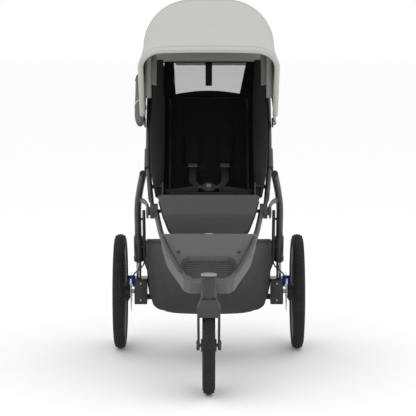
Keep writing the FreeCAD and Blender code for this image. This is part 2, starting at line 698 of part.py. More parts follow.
def rear_leg_group():
    legs = both(rear_legs())
    keep("rear_legs", *legs)
    housing = rod(shock_point(HOUSING_TOP), shock_point(HOUSING_LOW), 15.5)
    housing = rounded(housing, 5.0, lambda e: e.CenterOfMass.z < HOUSING_LOW + 5)
    housing = housing.cut(rod(shock_point(HOUSING_TOP - 8), shock_point(HOUSING_LOW - 10), SHOCK_R + RUNNING))
    housing = housing.cut(rear_legs())
    keep("shock_housings", *both(housing))
    springs = []
    helix = Part.makeHelix(6.6, 33, 7.4)
    start = helix.Vertexes[0].Point
    ring = Part.Wire([Part.makeCircle(1.0, start, V(0, 1, 0.14))])
    spring = Part.Wire(helix).makePipeShell([ring], True, True)
    low = V(*shock_point(357.5))
    axis = (V(*shock_point(400)) - low).normalize()
    turn = FreeCAD.Rotation(V(0, 0, 1), axis)
    spring.Placement = FreeCAD.Placement(low, turn)
    springs = both(spring)
    keep("shock_springs", *springs)
    post = tube([(222, 218, 500), (222, 262, 388), (222, 284, 330)], 5.5, None, 0.4)
    for z in (470, 370):
        y = 218 + (500 - z) * 44 / 112
        post = post.fuse(rod((222, y, z), (232, y - 3, z), 4))
    keep("basket_posts", *[p.cut(l).cut(h) for p, l, h in zip(both(post), legs, both(housing))])


def axle_block():
    shape = block(215, 259, 306, 392, 160, 250)
    shape = rounded(shape, 9.0, long_edges((1, 0, 0)))
    shape = rounded(shape, 3.0, lambda e: abs(e.CenterOfMass.x - 259) < 0.1)
    shape = shape.cut(disc_x(214, 260, REAR_Y, REAR_R, AXLE_R))
    return shape.cut(rod(shock_point(260), shock_point(222), SHOCK_R))


def caliper():
    """A caliper that straddles the disc's upper front edge."""
    y, z = polar(REAR_Y, REAR_R, 62, 132)
    inner = disc_x(256, 267.5, y, z, 15)
    outer = disc_x(274.5, 282, y, z, 13)
    oy, oz = polar(REAR_Y, REAR_R, 77.5, 132)
    bridge = disc_x(256, 282, oy, oz, 6.0)
    arm = prism_x([(305, 232), (318, 222), (334, 236), (322, 252)], 259, 265)
    clear = disc_x(267.5, 274.5, REAR_Y, REAR_R, DISC_R + 1)
    return inner.fuse(outer).fuse(bridge).fuse(arm).cut(clear).removeSplitter()


def axle_group():
    blocks = both(axle_block())
    keep("axle_blocks", *blocks)
    rods = [rod(shock_point(222), shock_point(356), SHOCK_R)]
    keep("shock_rods", *both(rods[0]))
    end = TRACK_HALF + 17.3
    keep("stub_axles", *both(disc_x(222, end, REAR_Y, REAR_R, AXLE_R)))
    button = rounded(disc_x(end, end + 6.7, REAR_Y, REAR_R, 15), 2.0, lambda e: e.CenterOfMass.x > end + 6)
    keep("wheel_release_buttons", *both(button))
    beam = disc_x(-215, 215, 374, 178, 10)
    keep("axle_beam", beam)
    cable = tube([(222, 285, 326), (222, 288, 306), (243, 292, 284), (262, 308, 268), (265, 314, 254)], CABLE_R, share=0.45)
    keep("brake_cables", *both(cable))
    keep("brake_calipers", *both(caliper().cut(blocks[0]).cut(cable)))
    sleeve = disc_x(-60, 60, 374, 178, 16)
    paddle = prism_x([(386, 170), (442, 152), (444, 158), (388, 186)], -52, 52)
    pedal = sleeve.fuse(paddle).cut(disc_x(-70, 70, 374, 178, 10 + 0.2)).removeSplitter()
    keep("parking_brake_pedal", pedal)


def main():
    front_frame()
    fork_group()
    upper_frame()
    backrest_group()
    handlebar_group()
    canopy_group()
    rear_leg_group()
    axle_group()
    rear_wheel("left")
    rear_wheel("right")
    os.makedirs("parts", exist_ok=True)
    for name, shape in SHAPES.items():
        shape.exportStep("parts/" + name + ".step")
        if not shape.isValid():
            print("not valid:", name)
    print(len(SHAPES), "nodes")


main()
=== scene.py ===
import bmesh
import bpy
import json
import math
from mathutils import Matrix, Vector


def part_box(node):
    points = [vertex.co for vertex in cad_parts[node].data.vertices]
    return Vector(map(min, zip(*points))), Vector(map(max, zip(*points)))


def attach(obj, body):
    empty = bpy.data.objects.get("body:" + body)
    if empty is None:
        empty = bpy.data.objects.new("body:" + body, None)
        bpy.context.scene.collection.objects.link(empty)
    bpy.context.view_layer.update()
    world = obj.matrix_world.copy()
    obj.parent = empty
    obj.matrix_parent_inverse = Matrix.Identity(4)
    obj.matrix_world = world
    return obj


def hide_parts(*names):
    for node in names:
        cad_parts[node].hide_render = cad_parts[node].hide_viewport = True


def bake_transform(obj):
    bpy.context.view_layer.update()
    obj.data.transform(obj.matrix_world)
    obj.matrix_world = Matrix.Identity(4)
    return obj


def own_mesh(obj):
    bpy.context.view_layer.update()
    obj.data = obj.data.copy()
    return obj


bl_info = {
    "name": "Jogging stroller",
    "version": (1, 0, 0),
    "blender": (4, 5, 0),
    "location": "View3D > Sidebar > Stroller",
    "description": "Dresses the jogging stroller's frame with fabric, tyres and hard parts, in a studio",
    "category": "Object",
}

from mathutils import Matrix, Vector

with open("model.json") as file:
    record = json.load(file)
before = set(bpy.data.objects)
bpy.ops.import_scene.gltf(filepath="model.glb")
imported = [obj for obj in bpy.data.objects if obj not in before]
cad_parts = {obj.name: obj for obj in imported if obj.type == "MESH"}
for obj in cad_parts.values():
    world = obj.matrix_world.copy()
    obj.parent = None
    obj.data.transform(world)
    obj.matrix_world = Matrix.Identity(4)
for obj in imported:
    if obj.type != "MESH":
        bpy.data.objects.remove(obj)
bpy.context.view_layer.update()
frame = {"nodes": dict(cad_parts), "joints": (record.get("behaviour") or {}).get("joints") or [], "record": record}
NODES = frame["nodes"]
JOINTS = {j["name"]: j for j in frame["joints"]}

PIVOT = Vector(JOINTS["canopy_close"]["pos_m"])
HUB = Vector(JOINTS["frame_fold"]["pos_m"])
BIGHT = Vector(JOINTS["backrest_recline"]["pos_m"])
REAR_AXLE = Vector(JOINTS["rear_wheel_left_spin"]["pos_m"])
FRONT_AXLE = Vector(JOINTS["front_wheel_spin"]["pos_m"])


# ---- mesh helpers ----
def add_object(name, mesh):
    obj = bpy.data.objects.new(name, mesh)
    bpy.context.scene.collection.objects.link(obj)
    return obj


def mesh_object(name, verts, faces, smooth=True):
    """A new object from vertices and faces, its doubles merged and its faces pointing out."""
    mesh = bpy.data.meshes.new(name)
    mesh.from_pydata([tuple(v) for v in verts], [], faces)
    bm = bmesh.new()
    bm.from_mesh(mesh)
    bmesh.ops.remove_doubles(bm, verts=bm.verts, dist=1e-5)
    bmesh.ops.dissolve_degenerate(bm, dist=1e-6, edges=bm.edges)
    bmesh.ops.recalc_face_normals(bm, faces=bm.faces)
    bm.to_mesh(mesh)
    bm.free()
    mesh.polygons.foreach_set("use_smooth", [smooth] * len(mesh.polygons))
    return add_object(name, mesh)


def grid_faces(rows, cols, close_rows=False, close_cols=False):
    faces = []
    for i in range(rows if close_rows else rows - 1):
        for j in range(cols if close_cols else cols - 1):
            a, b = i * cols + j, i * cols + (j + 1) % cols
            c, d = ((i + 1) % rows) * cols + (j + 1) % cols, ((i + 1) % rows) * cols + j
            faces.append((a, b, c, d))
    return faces


def grid_object(name, rows, cols, point, close_cols=False):
    """A sheet whose vertex in row i and column j is point(i, j), both from 0 to 1. It carries a UV map."""
    mesh = bpy.data.meshes.new(name)
    verts = [tuple(point(i / (rows - 1), j / (cols - (0 if close_cols else 1)))) for i in range(rows)
             for j in range(cols)]
    mesh.from_pydata(verts, [], grid_faces(rows, cols, close_cols=close_cols))
    uv = mesh.uv_layers.new(name="UVMap")
    for loop in mesh.loops:
        i, j = divmod(loop.vertex_index, cols)
        uv.data[loop.index].uv = (j / max(cols - 1, 1), i / (rows - 1))
    mesh.polygons.foreach_set("use_smooth", [True] * len(mesh.polygons))
    return add_object(name, mesh)


def apply_modifiers(obj):
    """Bakes an object's modifiers into its mesh."""
    bpy.context.view_layer.update()
    deps = bpy.context.evaluated_depsgraph_get()
    mesh = bpy.data.meshes.new_from_object(obj.evaluated_get(deps))
    old = obj.data
    obj.modifiers.clear()
    obj.data = mesh
    bpy.data.meshes.remove(old)
    return obj


def thicken(obj, thickness, offset=-1.0, rim=True):
    """Gives a sheet its thickness. offset -1 grows inwards, 0 both ways."""
    mod = obj.modifiers.new("thickness", "SOLIDIFY")
    mod.thickness = thickness
    mod.offset = offset
    mod.use_even_offset = True
    mod.use_rim = rim
    return apply_modifiers(obj)


def subdivide(obj, levels=1):
    mod = obj.modifiers.new("smooth", "SUBSURF")
    mod.levels = levels
    mod.render_levels = levels
    return apply_modifiers(obj)


def soften(obj, width, segments=2, angle=35):
    """Rounds the sharp edges."""
    mod = obj.modifiers.new("edges", "BEVEL")
    mod.width = width
    mod.segments = segments
    mod.limit_method = "ANGLE"
    mod.angle_limit = math.radians(angle)
    mod.harden_normals = False
    return apply_modifiers(obj)


def smooth_by_angle(obj, angle=35):
    obj.data.polygons.foreach_set("use_smooth", [True] * len(obj.data.polygons))
    obj.data.set_sharp_from_angle(angle=math.radians(angle))
    return obj


def join(name, objects):
    """One object from several, in the order given."""
    bm = bmesh.new()
    for obj in objects:
        bm.from_mesh(obj.data)
    mesh = bpy.data.meshes.new(name)
    materials = [m for obj in objects for m in obj.data.materials]
    bm.to_mesh(mesh)
    bm.free()
    for m in materials[:1]:
        mesh.materials.append(m)
    for obj in objects:
        old = obj.data
        bpy.data.objects.remove(obj)
        bpy.data.meshes.remove(old)
    return add_object(name, mesh)


def settle(obj, material, body, slot, *stands_for):
    """Gives a finished piece its material and its CAD body, and hides the CAD parts it stands for. The slot is not
    used.
    """
    obj.data.materials.clear()
    obj.data.materials.append(material)
    if stands_for:
        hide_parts(*stands_for)
    if body:
        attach(obj, body)
    return obj


def body_of(node):
    for body, members in frame["record"]["behaviour"]["bodies"].items():
        if node in members:
            return body
    raise ValueError(node)


def slot_of(node):
    for part in frame["record"]["subparts"]:
        if part["node"] == node:
            return part["material_slot"]
    raise ValueError(node)


def dress(node, material, edge=0.0, segments=2):
    """A finished copy of a hard CAD part, with merged vertices, softened edges and its own material."""
    mesh = NODES[node].data.copy()
    mesh.name = node + "_finish"
    bm = bmesh.new()
    bm.from_mesh(mesh)
    bmesh.ops.remove_doubles(bm, verts=bm.verts, dist=2e-6)
    bmesh.ops.dissolve_limit(bm, angle_limit=math.radians(1.0), verts=bm.verts, edges=bm.edges)
    bm.to_mesh(mesh)
    bm.free()
    obj = add_object(node + "_finish", mesh)
    smooth_by_angle(obj, 32)
    if edge:
        soften(obj, edge, segments)
        smooth_by_angle(obj, 40)
    return settle(obj, material, body_of(node), slot_of(node), node)


def spline_points(points, per_run=10, closed=False):
    """A smooth line through a few chosen points."""
    p = [Vector(q) for q in points]
    n = len(p)
    out = []
    for i in range(n if closed else n - 1):
        a = p[(i - 1) % n] if closed or i > 0 else p[i]
        b, c = p[i], p[(i + 1) % n]
        d = p[(i + 2) % n] if closed or i + 2 < n else c
        for k in range(per_run):
            t = k / per_run
            out.append(0.5 * ((2 * b) + (c - a) * t + (2 * a - 5 * b + 4 * c - d) * t ** 2
                              + (3 * b - a - 3 * c + d) * t ** 3))
    if not closed:
        out.append(p[-1])
    return out


def sweep(name, line, section, side=(1, 0, 0), closed=False):
    """A bar whose section, a list of (across, up) points, follows a line. side is the direction of across."""
    line = [Vector(q) for q in line]
    n, m = len(line), len(section)
    verts = []
    for i, at in enumerate(line):
        before = line[(i - 1) % n] if closed or i > 0 else line[0]
        after = line[(i + 1) % n] if closed or i < n - 1 else line[-1]
        run = (after - before).normalized()
        across = (Vector(side) - run * run.dot(Vector(side))).normalized()
        up = run.cross(across)
        verts += [at + across * a + up * b for a, b in section]
    faces = grid_faces(n, m, close_rows=closed, close_cols=True)
    if not closed:
        faces += [tuple(reversed(range(m))), tuple(range((n - 1) * m, n * m))]
    return mesh_object(name, verts, faces)


def round_section(radius, sides=16, radius_b=None):
    b = radius if radius_b is None else radius_b
    return [(radius * math.cos(2 * math.pi * k / sides),
             b * math.sin(2 * math.pi * k / sides)) for k in range(sides)]


def flat_section(width, thick):
    """A strap's section: flat, with rounded edges."""
    w, t = width / 2, thick / 2
    return [(-w, 0), (-w + t, t), (0, t), (w - t, t), (w, 0), (w - t, -t), (0, -t), (-w + t, -t)]


def lathe(name, profile, centre, axis=(1, 0, 0), steps=64):
    """A closed profile of (along, radius) points turned about an axis."""
    axis = Vector(axis).normalized()
    ref = Vector((0, 0, 1)) if abs(axis.z) < 0.9 else Vector((0, 1, 0))
    u = (ref - axis * ref.dot(axis)).normalized()
    v = axis.cross(u)
    verts = []
    for k in range(steps):
        a = 2 * math.pi * k / steps
        out = u * math.cos(a) + v * math.sin(a)
        verts += [Vector(centre) + axis * x + out * r for x, r in profile]
    return mesh_object(name, verts, grid_faces(steps, len(profile), close_rows=True, close_cols=True))


def cushion_sim(obj, cap, voxel=0.005, pressure=4.0):
    """Swells a closed mesh like a filled cushion. No point moves further than cap."""
    mod = obj.modifiers.new("voxels", "REMESH")
    mod.mode = "VOXEL"
    mod.voxel_size = voxel
    apply_modifiers(obj)
    before = [v.co.copy() for v in obj.data.vertices]
    cloth = obj.modifiers.new("cloth", "CLOTH")
    cloth.settings.use_pressure = True
    cloth.settings.uniform_pressure_force = pressure
    cloth.settings.effector_weights.gravity = 0
    cloth.settings.quality = 4
    scene = bpy.context.scene
    for step in range(1, 21):
        scene.frame_set(step)
    apply_modifiers(obj)
    scene.frame_set(1)
    for v, rest in zip(obj.data.vertices, before):
        move = v.co - rest
        if move.length > cap:
            v.co = rest + move.normalized() * cap
    obj.data.polygons.foreach_set("use_smooth", [True] * len(obj.data.polygons))
    return obj


# ---- shader node groups ----
class Shader:
    """Adds and links nodes in a tree with short calls."""

    def __init__(self, tree):
        self.tree = tree

    def node(self, kind, **values):
        n = self.tree.nodes.new("ShaderNode" + kind)
        for key, value in values.items():
            if key in n.inputs:
                n.inputs[key].default_value = value
            else:
                setattr(n, key, value)
        return n

    def link(self, a, b):
        self.tree.links.new(a, b)


def node_group(name, inputs, outputs):
    group = bpy.data.node_groups.new(name, "ShaderNodeTree")
    for label, kind, default in inputs:
        socket = group.interface.new_socket(name=label, in_out="INPUT", socket_type="NodeSocket" + kind)
        socket.default_value = default
    for label, kind in outputs:
        group.interface.new_socket(name=label, in_out="OUTPUT", socket_type="NodeSocket" + kind)
    s = Shader(group)
    return group, s, s.node("TexCoord"), group.nodes.new("NodeGroupInput"), group.nodes.new("NodeGroupOutput")


def weave_group():
    """Threads crossing at right angles, with slubs and a soft cloud of tone."""
    group, s, where, given, out = node_group(
        "Weave", [("Threads", "Float", 900.0), ("Slub", "Float", 0.4), ("Cloud", "Float", 0.5)],
        [("Height", "Float"), ("Tone", "Float")])
    waves = []
    for direction in ("X", "Z"):
        wave = s.node("TexWave", wave_type="BANDS", bands_direction=direction)
        wave.inputs["Distortion"].default_value = 1.2
        wave.inputs["Detail"].default_value = 1.0
        s.link(where.outputs["Object"], wave.inputs["Vector"])
        s.link(given.outputs["Threads"], wave.inputs["Scale"])
        waves.append(wave)
    cross = s.node("Math", operation="MAXIMUM")
    s.link(waves[0].outputs["Fac"], cross.inputs[0])
    s.link(waves[1].outputs["Fac"], cross.inputs[1])
    slub = s.node("TexNoise", Scale=420.0, Detail=3.0)
    s.link(where.outputs["Object"], slub.inputs["Vector"])
    mix = s.node("Math", operation="MULTIPLY_ADD")
    s.link(slub.outputs["Fac"], mix.inputs[0])
    s.link(given.outputs["Slub"], mix.inputs[1])
    s.link(cross.outputs[0], mix.inputs[2])
    s.link(mix.outputs[0], out.inputs["Height"])
    cloud = s.node("TexNoise", Scale=7.0, Detail=4.0, Roughness=0.6)
    s.link(where.outputs["Object"], cloud.inputs["Vector"])
    level = s.node("Math", operation="MULTIPLY_ADD")
    centre = s.node("Math", operation="SUBTRACT")
    s.link(cloud.outputs["Fac"], centre.inputs[0])
    centre.inputs[1].default_value = 0.5
    s.link(centre.outputs[0], level.inputs[0])
    s.link(given.outputs["Cloud"], level.inputs[1])
    fine = s.node("Math", operation="MULTIPLY_ADD")
    s.link(cross.outputs[0], fine.inputs[0])
    fine.inputs[1].default_value = 0.18
    fine.inputs[2].default_value = 0.88
    s.link(fine.outputs[0], level.inputs[2])
    s.link(level.outputs[0], out.inputs["Tone"])
    return group


def grain_group():
    """The fine pebbled grain and faint scuffs of moulded or coated parts."""
    group, s, where, given, out = node_group(
        "Grain", [("Size", "Float", 900.0), ("Scuffs", "Float", 0.3)],
        [("Height", "Float"), ("Scuff", "Float")])
    pebble = s.node("TexVoronoi", feature="SMOOTH_F1")
    pebble.inputs["Smoothness"].default_value = 0.6
    s.link(where.outputs["Object"], pebble.inputs["Vector"])
    s.link(given.outputs["Size"], pebble.inputs["Scale"])
    s.link(pebble.outputs["Distance"], out.inputs["Height"])
    scuff = s.node("TexNoise", Scale=38.0, Detail=6.0, Roughness=0.7, Distortion=0.8)
    s.link(where.outputs["Object"], scuff.inputs["Vector"])
    ramp = s.node("MapRange")
    ramp.inputs["From Min"].default_value = 0.45
    ramp.inputs["From Max"].default_value = 0.75
    s.link(scuff.outputs["Fac"], ramp.inputs["Value"])
    scale = s.node("Math", operation="MULTIPLY")
    s.link(ramp.outputs["Result"], scale.inputs[0])
    s.link(given.outputs["Scuffs"], scale.inputs[1])
    s.link(scale.outputs[0], out.inputs["Scuff"])
    return group


GROUPS = {}


def group_named(name):
    """Each shader group is built once and then shared."""
    if name not in GROUPS:
        GROUPS[name] = {"Weave": weave_group, "Grain": grain_group}[name]()
    return GROUPS[name]


def start_material(name, colour, roughness, metallic=0.0, **fixed):
    material = bpy.data.materials.new(name)
    material.use_nodes = True
    material.diffuse_color = (*colour, 1.0)
    s = Shader(material.node_tree)
    shader = material.node_tree.nodes["Principled BSDF"]
    shader.inputs["Base Color"].default_value = (*colour, 1.0)
    shader.inputs["Roughness"].default_value = roughness
    shader.inputs["Metallic"].default_value = metallic
    for key, value in fixed.items():
        shader.inputs[key.replace("_", " ")].default_value = value
    return material, s, shader


def bump(s, shader, height, strength, distance):
    node = s.node("Bump", Strength=strength, Distance=distance)
    s.link(height, node.inputs["Height"])
    s.link(node.outputs["Normal"], shader.inputs["Normal"])


def tinted(s, colour, tone):
    """The colour times a tone that varies over the surface."""
    mix = s.node("VectorMath", operation="SCALE")
    mix.inputs[0].default_value = colour
    s.link(tone, mix.inputs["Scale"])
    return mix.outputs["Vector"]


def cloth_material(name, colour, threads=900.0, roughness=0.85, cloud=0.5, depth=0.0004, sheen=0.04):
    material, s, shader = start_material(name, colour, roughness, Sheen_Weight=sheen, Sheen_Roughness=0.5,
                                         Specular_IOR_Level=0.15)
    weave = s.node("Group")
    weave.node_tree = group_named("Weave")
    weave.inputs["Threads"].default_value = threads
    weave.inputs["Cloud"].default_value = cloud
    s.link(tinted(s, colour, weave.outputs["Tone"]), shader.inputs["Base Color"])
    bump(s, shader, weave.outputs["Height"], 0.5, depth)
    return material


def hard_material(name, colour, roughness, metallic=0.0, grain=1100.0, scuffs=0.3, depth=0.00015,
                  lighter=1.5, **fixed):
    """Moulded plastic or coated metal: grain in the bump, scuffs in the colour and gloss."""
    material, s, shader = start_material(name, colour, roughness, metallic, **fixed)
    group = s.node("Group")
    group.node_tree = group_named("Grain")
    group.inputs["Size"].default_value = grain
    group.inputs["Scuffs"].default_value = scuffs
    mix = s.node("Mix", data_type="RGBA")
    s.link(group.outputs["Scuff"], mix.inputs["Factor"])
    mix.inputs[6].default_value = (*colour, 1)
    mix.inputs[7].default_value = (*[min(1.0, c * lighter + 0.004) for c in colour], 1)
    s.link(mix.outputs[2], shader.inputs["Base Color"])
    rough = s.node("Math", operation="MULTIPLY_ADD")
    s.link(group.outputs["Scuff"], rough.inputs[0])
    rough.inputs[1].default_value = 0.25
    rough.inputs[2].default_value = roughness
    s.link(rough.outputs[0], shader.inputs["Roughness"])
    bump(s, shader, group.outputs["Height"], 0.35, depth)
    return material


def brushed_material(name, colour, roughness, rings=False):
    """Machined metal with fine lines round the axle, or along the part."""
    material, s, shader = start_material(name, colour, roughness, 1.0)
    where = s.node("TexCoord")
    wave = s.node("TexWave", wave_type="RINGS" if rings else "BANDS", rings_direction="X")
    wave.inputs["Scale"].default_value = 260.0
    wave.inputs["Distortion"].default_value = 2.5
    wave.inputs["Detail"].default_value = 3.0
    mapping = s.node("Mapping")
    if rings:
        mapping.inputs["Location"].default_value = tuple(-REAR_AXLE)
    s.link(where.outputs["Object"], mapping.inputs["Vector"])
    s.link(mapping.outputs["Vector"], wave.inputs["Vector"])
    ramp = s.node("Math", operation="MULTIPLY_ADD")
    s.link(wave.outputs["Fac"], ramp.inputs[0])
    ramp.inputs[1].default_value = 0.15
    ramp.inputs[2].default_value = roughness
    s.link(ramp.outputs[0], shader.inputs["Roughness"])
    bump(s, shader, wave.outputs["Fac"], 0.15, 0.0001)
    return material


def mesh_material(name, colour, rows=150.0, open_share=0.45, roughness=0.7):
    """Open mesh in horizontal rows. The holes let what is behind show."""
    material, s, shader = start_material(name, colour, roughness)
    where = s.node("TexCoord")
    wave = s.node("TexWave", wave_type="BANDS", bands_direction="Z")
    wave.inputs["Scale"].default_value = rows
    s.link(where.outputs["Object"], wave.inputs["Vector"])
    alpha = s.node("MapRange")
    alpha.inputs["To Min"].default_value = 1.0 - open_share * 1.3
    alpha.inputs["To Max"].default_value = min(1.0, 1.0 - open_share * 0.7)
    s.link(wave.outputs["Fac"], alpha.inputs["Value"])
    s.link(alpha.outputs["Result"], shader.inputs["Alpha"])
    bump(s, shader, wave.outputs["Fac"], 0.6, 0.0006)
    return material


MATERIALS = {}


def finish_named(name):
    """The materials by name, each made the first time it is asked for."""
    cloth, paint = bpy.context.scene.stroller_cloth, bpy.context.scene.stroller_frame
    makers = {
        "hood cloth": lambda n: cloth_material(n, tuple(cloth.hood_colour), 620.0, 0.9, 0.10, 0.0003, 0.05),
        # The hood lining is the hood cloth darkened to 0.30: painted shade on the inside of the hood.
        "hood lining": lambda n: cloth_material(n, tuple(c * 0.30 for c in cloth.hood_colour), 620.0, 0.9,
                                                0.15),
        # The sleeve cloth is the hood cloth darkened to three quarters: painted shade on the strips inside the
        # hood.
        "sleeve cloth": lambda n: cloth_material(n, tuple(c * 0.75 for c in cloth.hood_colour), 620.0, 0.9,
                                                 0.15),
        "seat cloth": lambda n: cloth_material(n, tuple(cloth.seat_colour), 700.0, 0.85, 0.5),
        "wall cloth": lambda n: cloth_material(n, tuple(cloth.wall_colour), 700.0, 0.8, 0.5),
        "flap cloth": lambda n: cloth_material(n, tuple(cloth.flap_colour), 760.0, 0.8, 0.3),
        "flap cloth lower": lambda n: cloth_material(n, tuple(c * 0.72 for c in cloth.flap_colour), 760.0,
                                                     0.8, 0.3),
        "basket cloth": lambda n: cloth_material(n, tuple(cloth.basket_colour), 760.0, 0.75, 0.5),
        "webbing": lambda n: cloth_material(n, (0.016, 0.016, 0.017), 420.0, 0.6, 0.2, 0.0006),
        "binding": lambda n: cloth_material(n, (0.020, 0.020, 0.021), 500.0, 0.7, 0.2, 0.0005),
        "pocket cloth": lambda n: cloth_material(n, (0.14, 0.14, 0.135), 380.0, 0.8, 0.5, 0.0007),
        "tab cloth": lambda n: cloth_material(n, (0.62, 0.66, 0.20), 700.0, 0.7, 0.1),
        "window mesh": lambda n: mesh_material(n, (0.35, 0.35, 0.35), 46.0, 0.40),
        "frame paint": lambda n: hard_material(n, tuple(paint.frame_colour), 0.38, 0.25, 1400.0, 0.25,
                                               0.00006),
        "fork paint": lambda n: hard_material(n, tuple(paint.fork_colour), 0.42, 0.2, 1400.0, 0.25, 0.00006),
        "black plastic": lambda n: hard_material(n, (0.018, 0.018, 0.018), 0.45, 0.0, 1000.0, 0.3),
        "leg plastic": lambda n: hard_material(n, (0.032, 0.032, 0.032), 0.34, 0.0, 1000.0, 0.25),
        "platform plastic": lambda n: hard_material(n, tuple(paint.platform_colour), 0.5, 0.0, 900.0, 0.3),
        "mat rubber": lambda n: hard_material(n, (0.040, 0.040, 0.040), 0.75, 0.0, 700.0, 0.4, 0.0004),
        "cap plastic": lambda n: hard_material(n, (0.27, 0.27, 0.27), 0.4, 0.0, 900.0, 0.3),
        "tyre rubber": lambda n: hard_material(n, (0.022, 0.022, 0.022), 0.8, 0.0, 600.0, 0.6, 0.0004, 1.8,
                                               Specular_IOR_Level=0.2),
        "wheel nylon": lambda n: hard_material(n, (0.016, 0.016, 0.016), 0.5, 0.0, 800.0, 0.3),
        "grey plastic": lambda n: hard_material(n, (0.11, 0.11, 0.11), 0.45, 0.0, 900.0, 0.3),
        "steel": lambda n: brushed_material(n, (0.56, 0.56, 0.57), 0.28),
        "disc steel": lambda n: brushed_material(n, (0.62, 0.62, 0.63), 0.25, rings=True),
        "shock chrome": lambda n: brushed_material(n, (0.50, 0.50, 0.51), 0.12),
        "blue anodised": lambda n: hard_material(n, (0.008, 0.020, 0.20), 0.30, 0.75, 1400.0, 0.3, 0.00006),
        "grip cover": lambda n: hard_material(n, (0.016, 0.014, 0.013), 0.6, 0.0, 520.0, 0.4, 0.0005),
        "bow alloy": lambda n: brushed_material(n, (0.40, 0.40, 0.41), 0.35),
        "floor": lambda n: hard_material(n, (0.97, 0.97, 0.97), 0.9, 0.0, 40.0, 0.05, 0.00001, 1.02),
    }
    if name not in MATERIALS:
        MATERIALS[name] = makers[name](name)
    return MATERIALS[name]


# ---- geometry node trees for what repeats ----
def tree_with_inputs(name, inputs):
    tree = bpy.data.node_groups.new(name, "GeometryNodeTree")
    tree.interface.new_socket(name="Geometry", in_out="INPUT", socket_type="NodeSocketGeometry")
    for label, kind in inputs:
        tree.interface.new_socket(name=label, in_out="INPUT", socket_type="NodeSocket" + kind)
    tree.interface.new_socket(name="Geometry", in_out="OUTPUT", socket_type="NodeSocketGeometry")
    return tree, tree.nodes.new("NodeGroupInput"), tree.nodes.new("NodeGroupOutput")


def object_geometry(tree, source):
    info = tree.nodes.new("GeometryNodeObjectInfo")
    info.transform_space = "ORIGINAL"
    tree.links.new(source, info.inputs["Object"])
    return info.outputs["Geometry"]


def along_curve_tree():
    """Copies of one small shape along a curve, each turned to follow it."""
    tree, given, out = tree_with_inputs(
        "Along curve", [("Path", "Object"), ("Shape", "Object"), ("Count", "Int"), ("Material", "Material")])
    nodes, link = tree.nodes, tree.links.new
    points = nodes.new("GeometryNodeCurveToPoints")
    points.mode = "COUNT"
    link(object_geometry(tree, given.outputs["Path"]), points.inputs["Curve"])
    link(given.outputs["Count"], points.inputs["Count"])
    copies = nodes.new("GeometryNodeInstanceOnPoints")
    link(points.outputs["Points"], copies.inputs["Points"])
    link(points.outputs["Rotation"], copies.inputs["Rotation"])
    link(object_geometry(tree, given.outputs["Shape"]), copies.inputs["Instance"])
    real = nodes.new("GeometryNodeRealizeInstances")
    link(copies.outputs["Instances"], real.inputs["Geometry"])
    paint = nodes.new("GeometryNodeSetMaterial")
    link(real.outputs["Geometry"], paint.inputs["Geometry"])
    link(given.outputs["Material"], paint.inputs["Material"])
    link(paint.outputs["Geometry"], out.inputs["Geometry"])
    return tree


def set_inputs(mod, values):
    for item in mod.node_group.interface.items_tree:
        if item.item_type == "SOCKET" and item.in_out == "INPUT" and item.name in values:
            mod[item.identifier] = values[item.name]


def repeat_along(name, line, shape, count, material, closed=False):
    """A mesh of count copies of shape, evenly spaced on a line. The shape and the line are used up."""
    curve = bpy.data.curves.new(name + "_path", "CURVE")
    curve.dimensions = "3D"
    spline = curve.splines.new("POLY")
    spline.points.add(len(line) - 1)
    for p, at in zip(spline.points, line):
        p.co = (*at, 1.0)
    spline.use_cyclic_u = closed
    path = add_object(name + "_path", curve)
    holder = add_object(name, bpy.data.meshes.new(name))
    if "Along curve" not in bpy.data.node_groups:
        along_curve_tree()
    mod = holder.modifiers.new("copies", "NODES")
    mod.node_group = bpy.data.node_groups["Along curve"]
    set_inputs(mod, {"Path": path, "Shape": shape, "Count": count, "Material": material})
    apply_modifiers(holder)
    for used in (path, shape):
        bpy.data.objects.remove(used)
    return holder


def small_block(name, x, y, z, edge=0.2):
    """A block with sloped sides, for tread, stitches and ribs. It stands on its own origin, +Z up."""
    t = 1 - edge
    verts = [(-x, -y, 0), (x, -y, 0), (x, y, 0), (-x, y, 0)]
    verts += [(a * t, b * t, z) for a, b, _ in verts]
    faces = [(3, 2, 1, 0), (4, 5, 6, 7)] + [(i, (i + 1) % 4, (i + 1) % 4 + 4, i + 4) for i in range(4)]
    return mesh_object(name, verts, faces, smooth=False)


def stitches(name, line, material, body, slot, spacing=0.006, length=0.0036, closed=False):
    """Sewn stitches along a line on the cloth."""
    total = sum((Vector(b) - Vector(a)).length for a, b in zip(line, line[1:]))
    stitch = lathe(name + "_one", [(-length / 2, 0.0002), (-length / 4, 0.0006), (length / 4, 0.0006),
                                   (length / 2, 0.0002)],
                   (0, 0, 0), axis=(0, 0, 1), steps=6)
    obj = repeat_along(name, line, stitch, max(2, int(total / spacing)), material, closed)
    return settle(obj, material, body, slot)


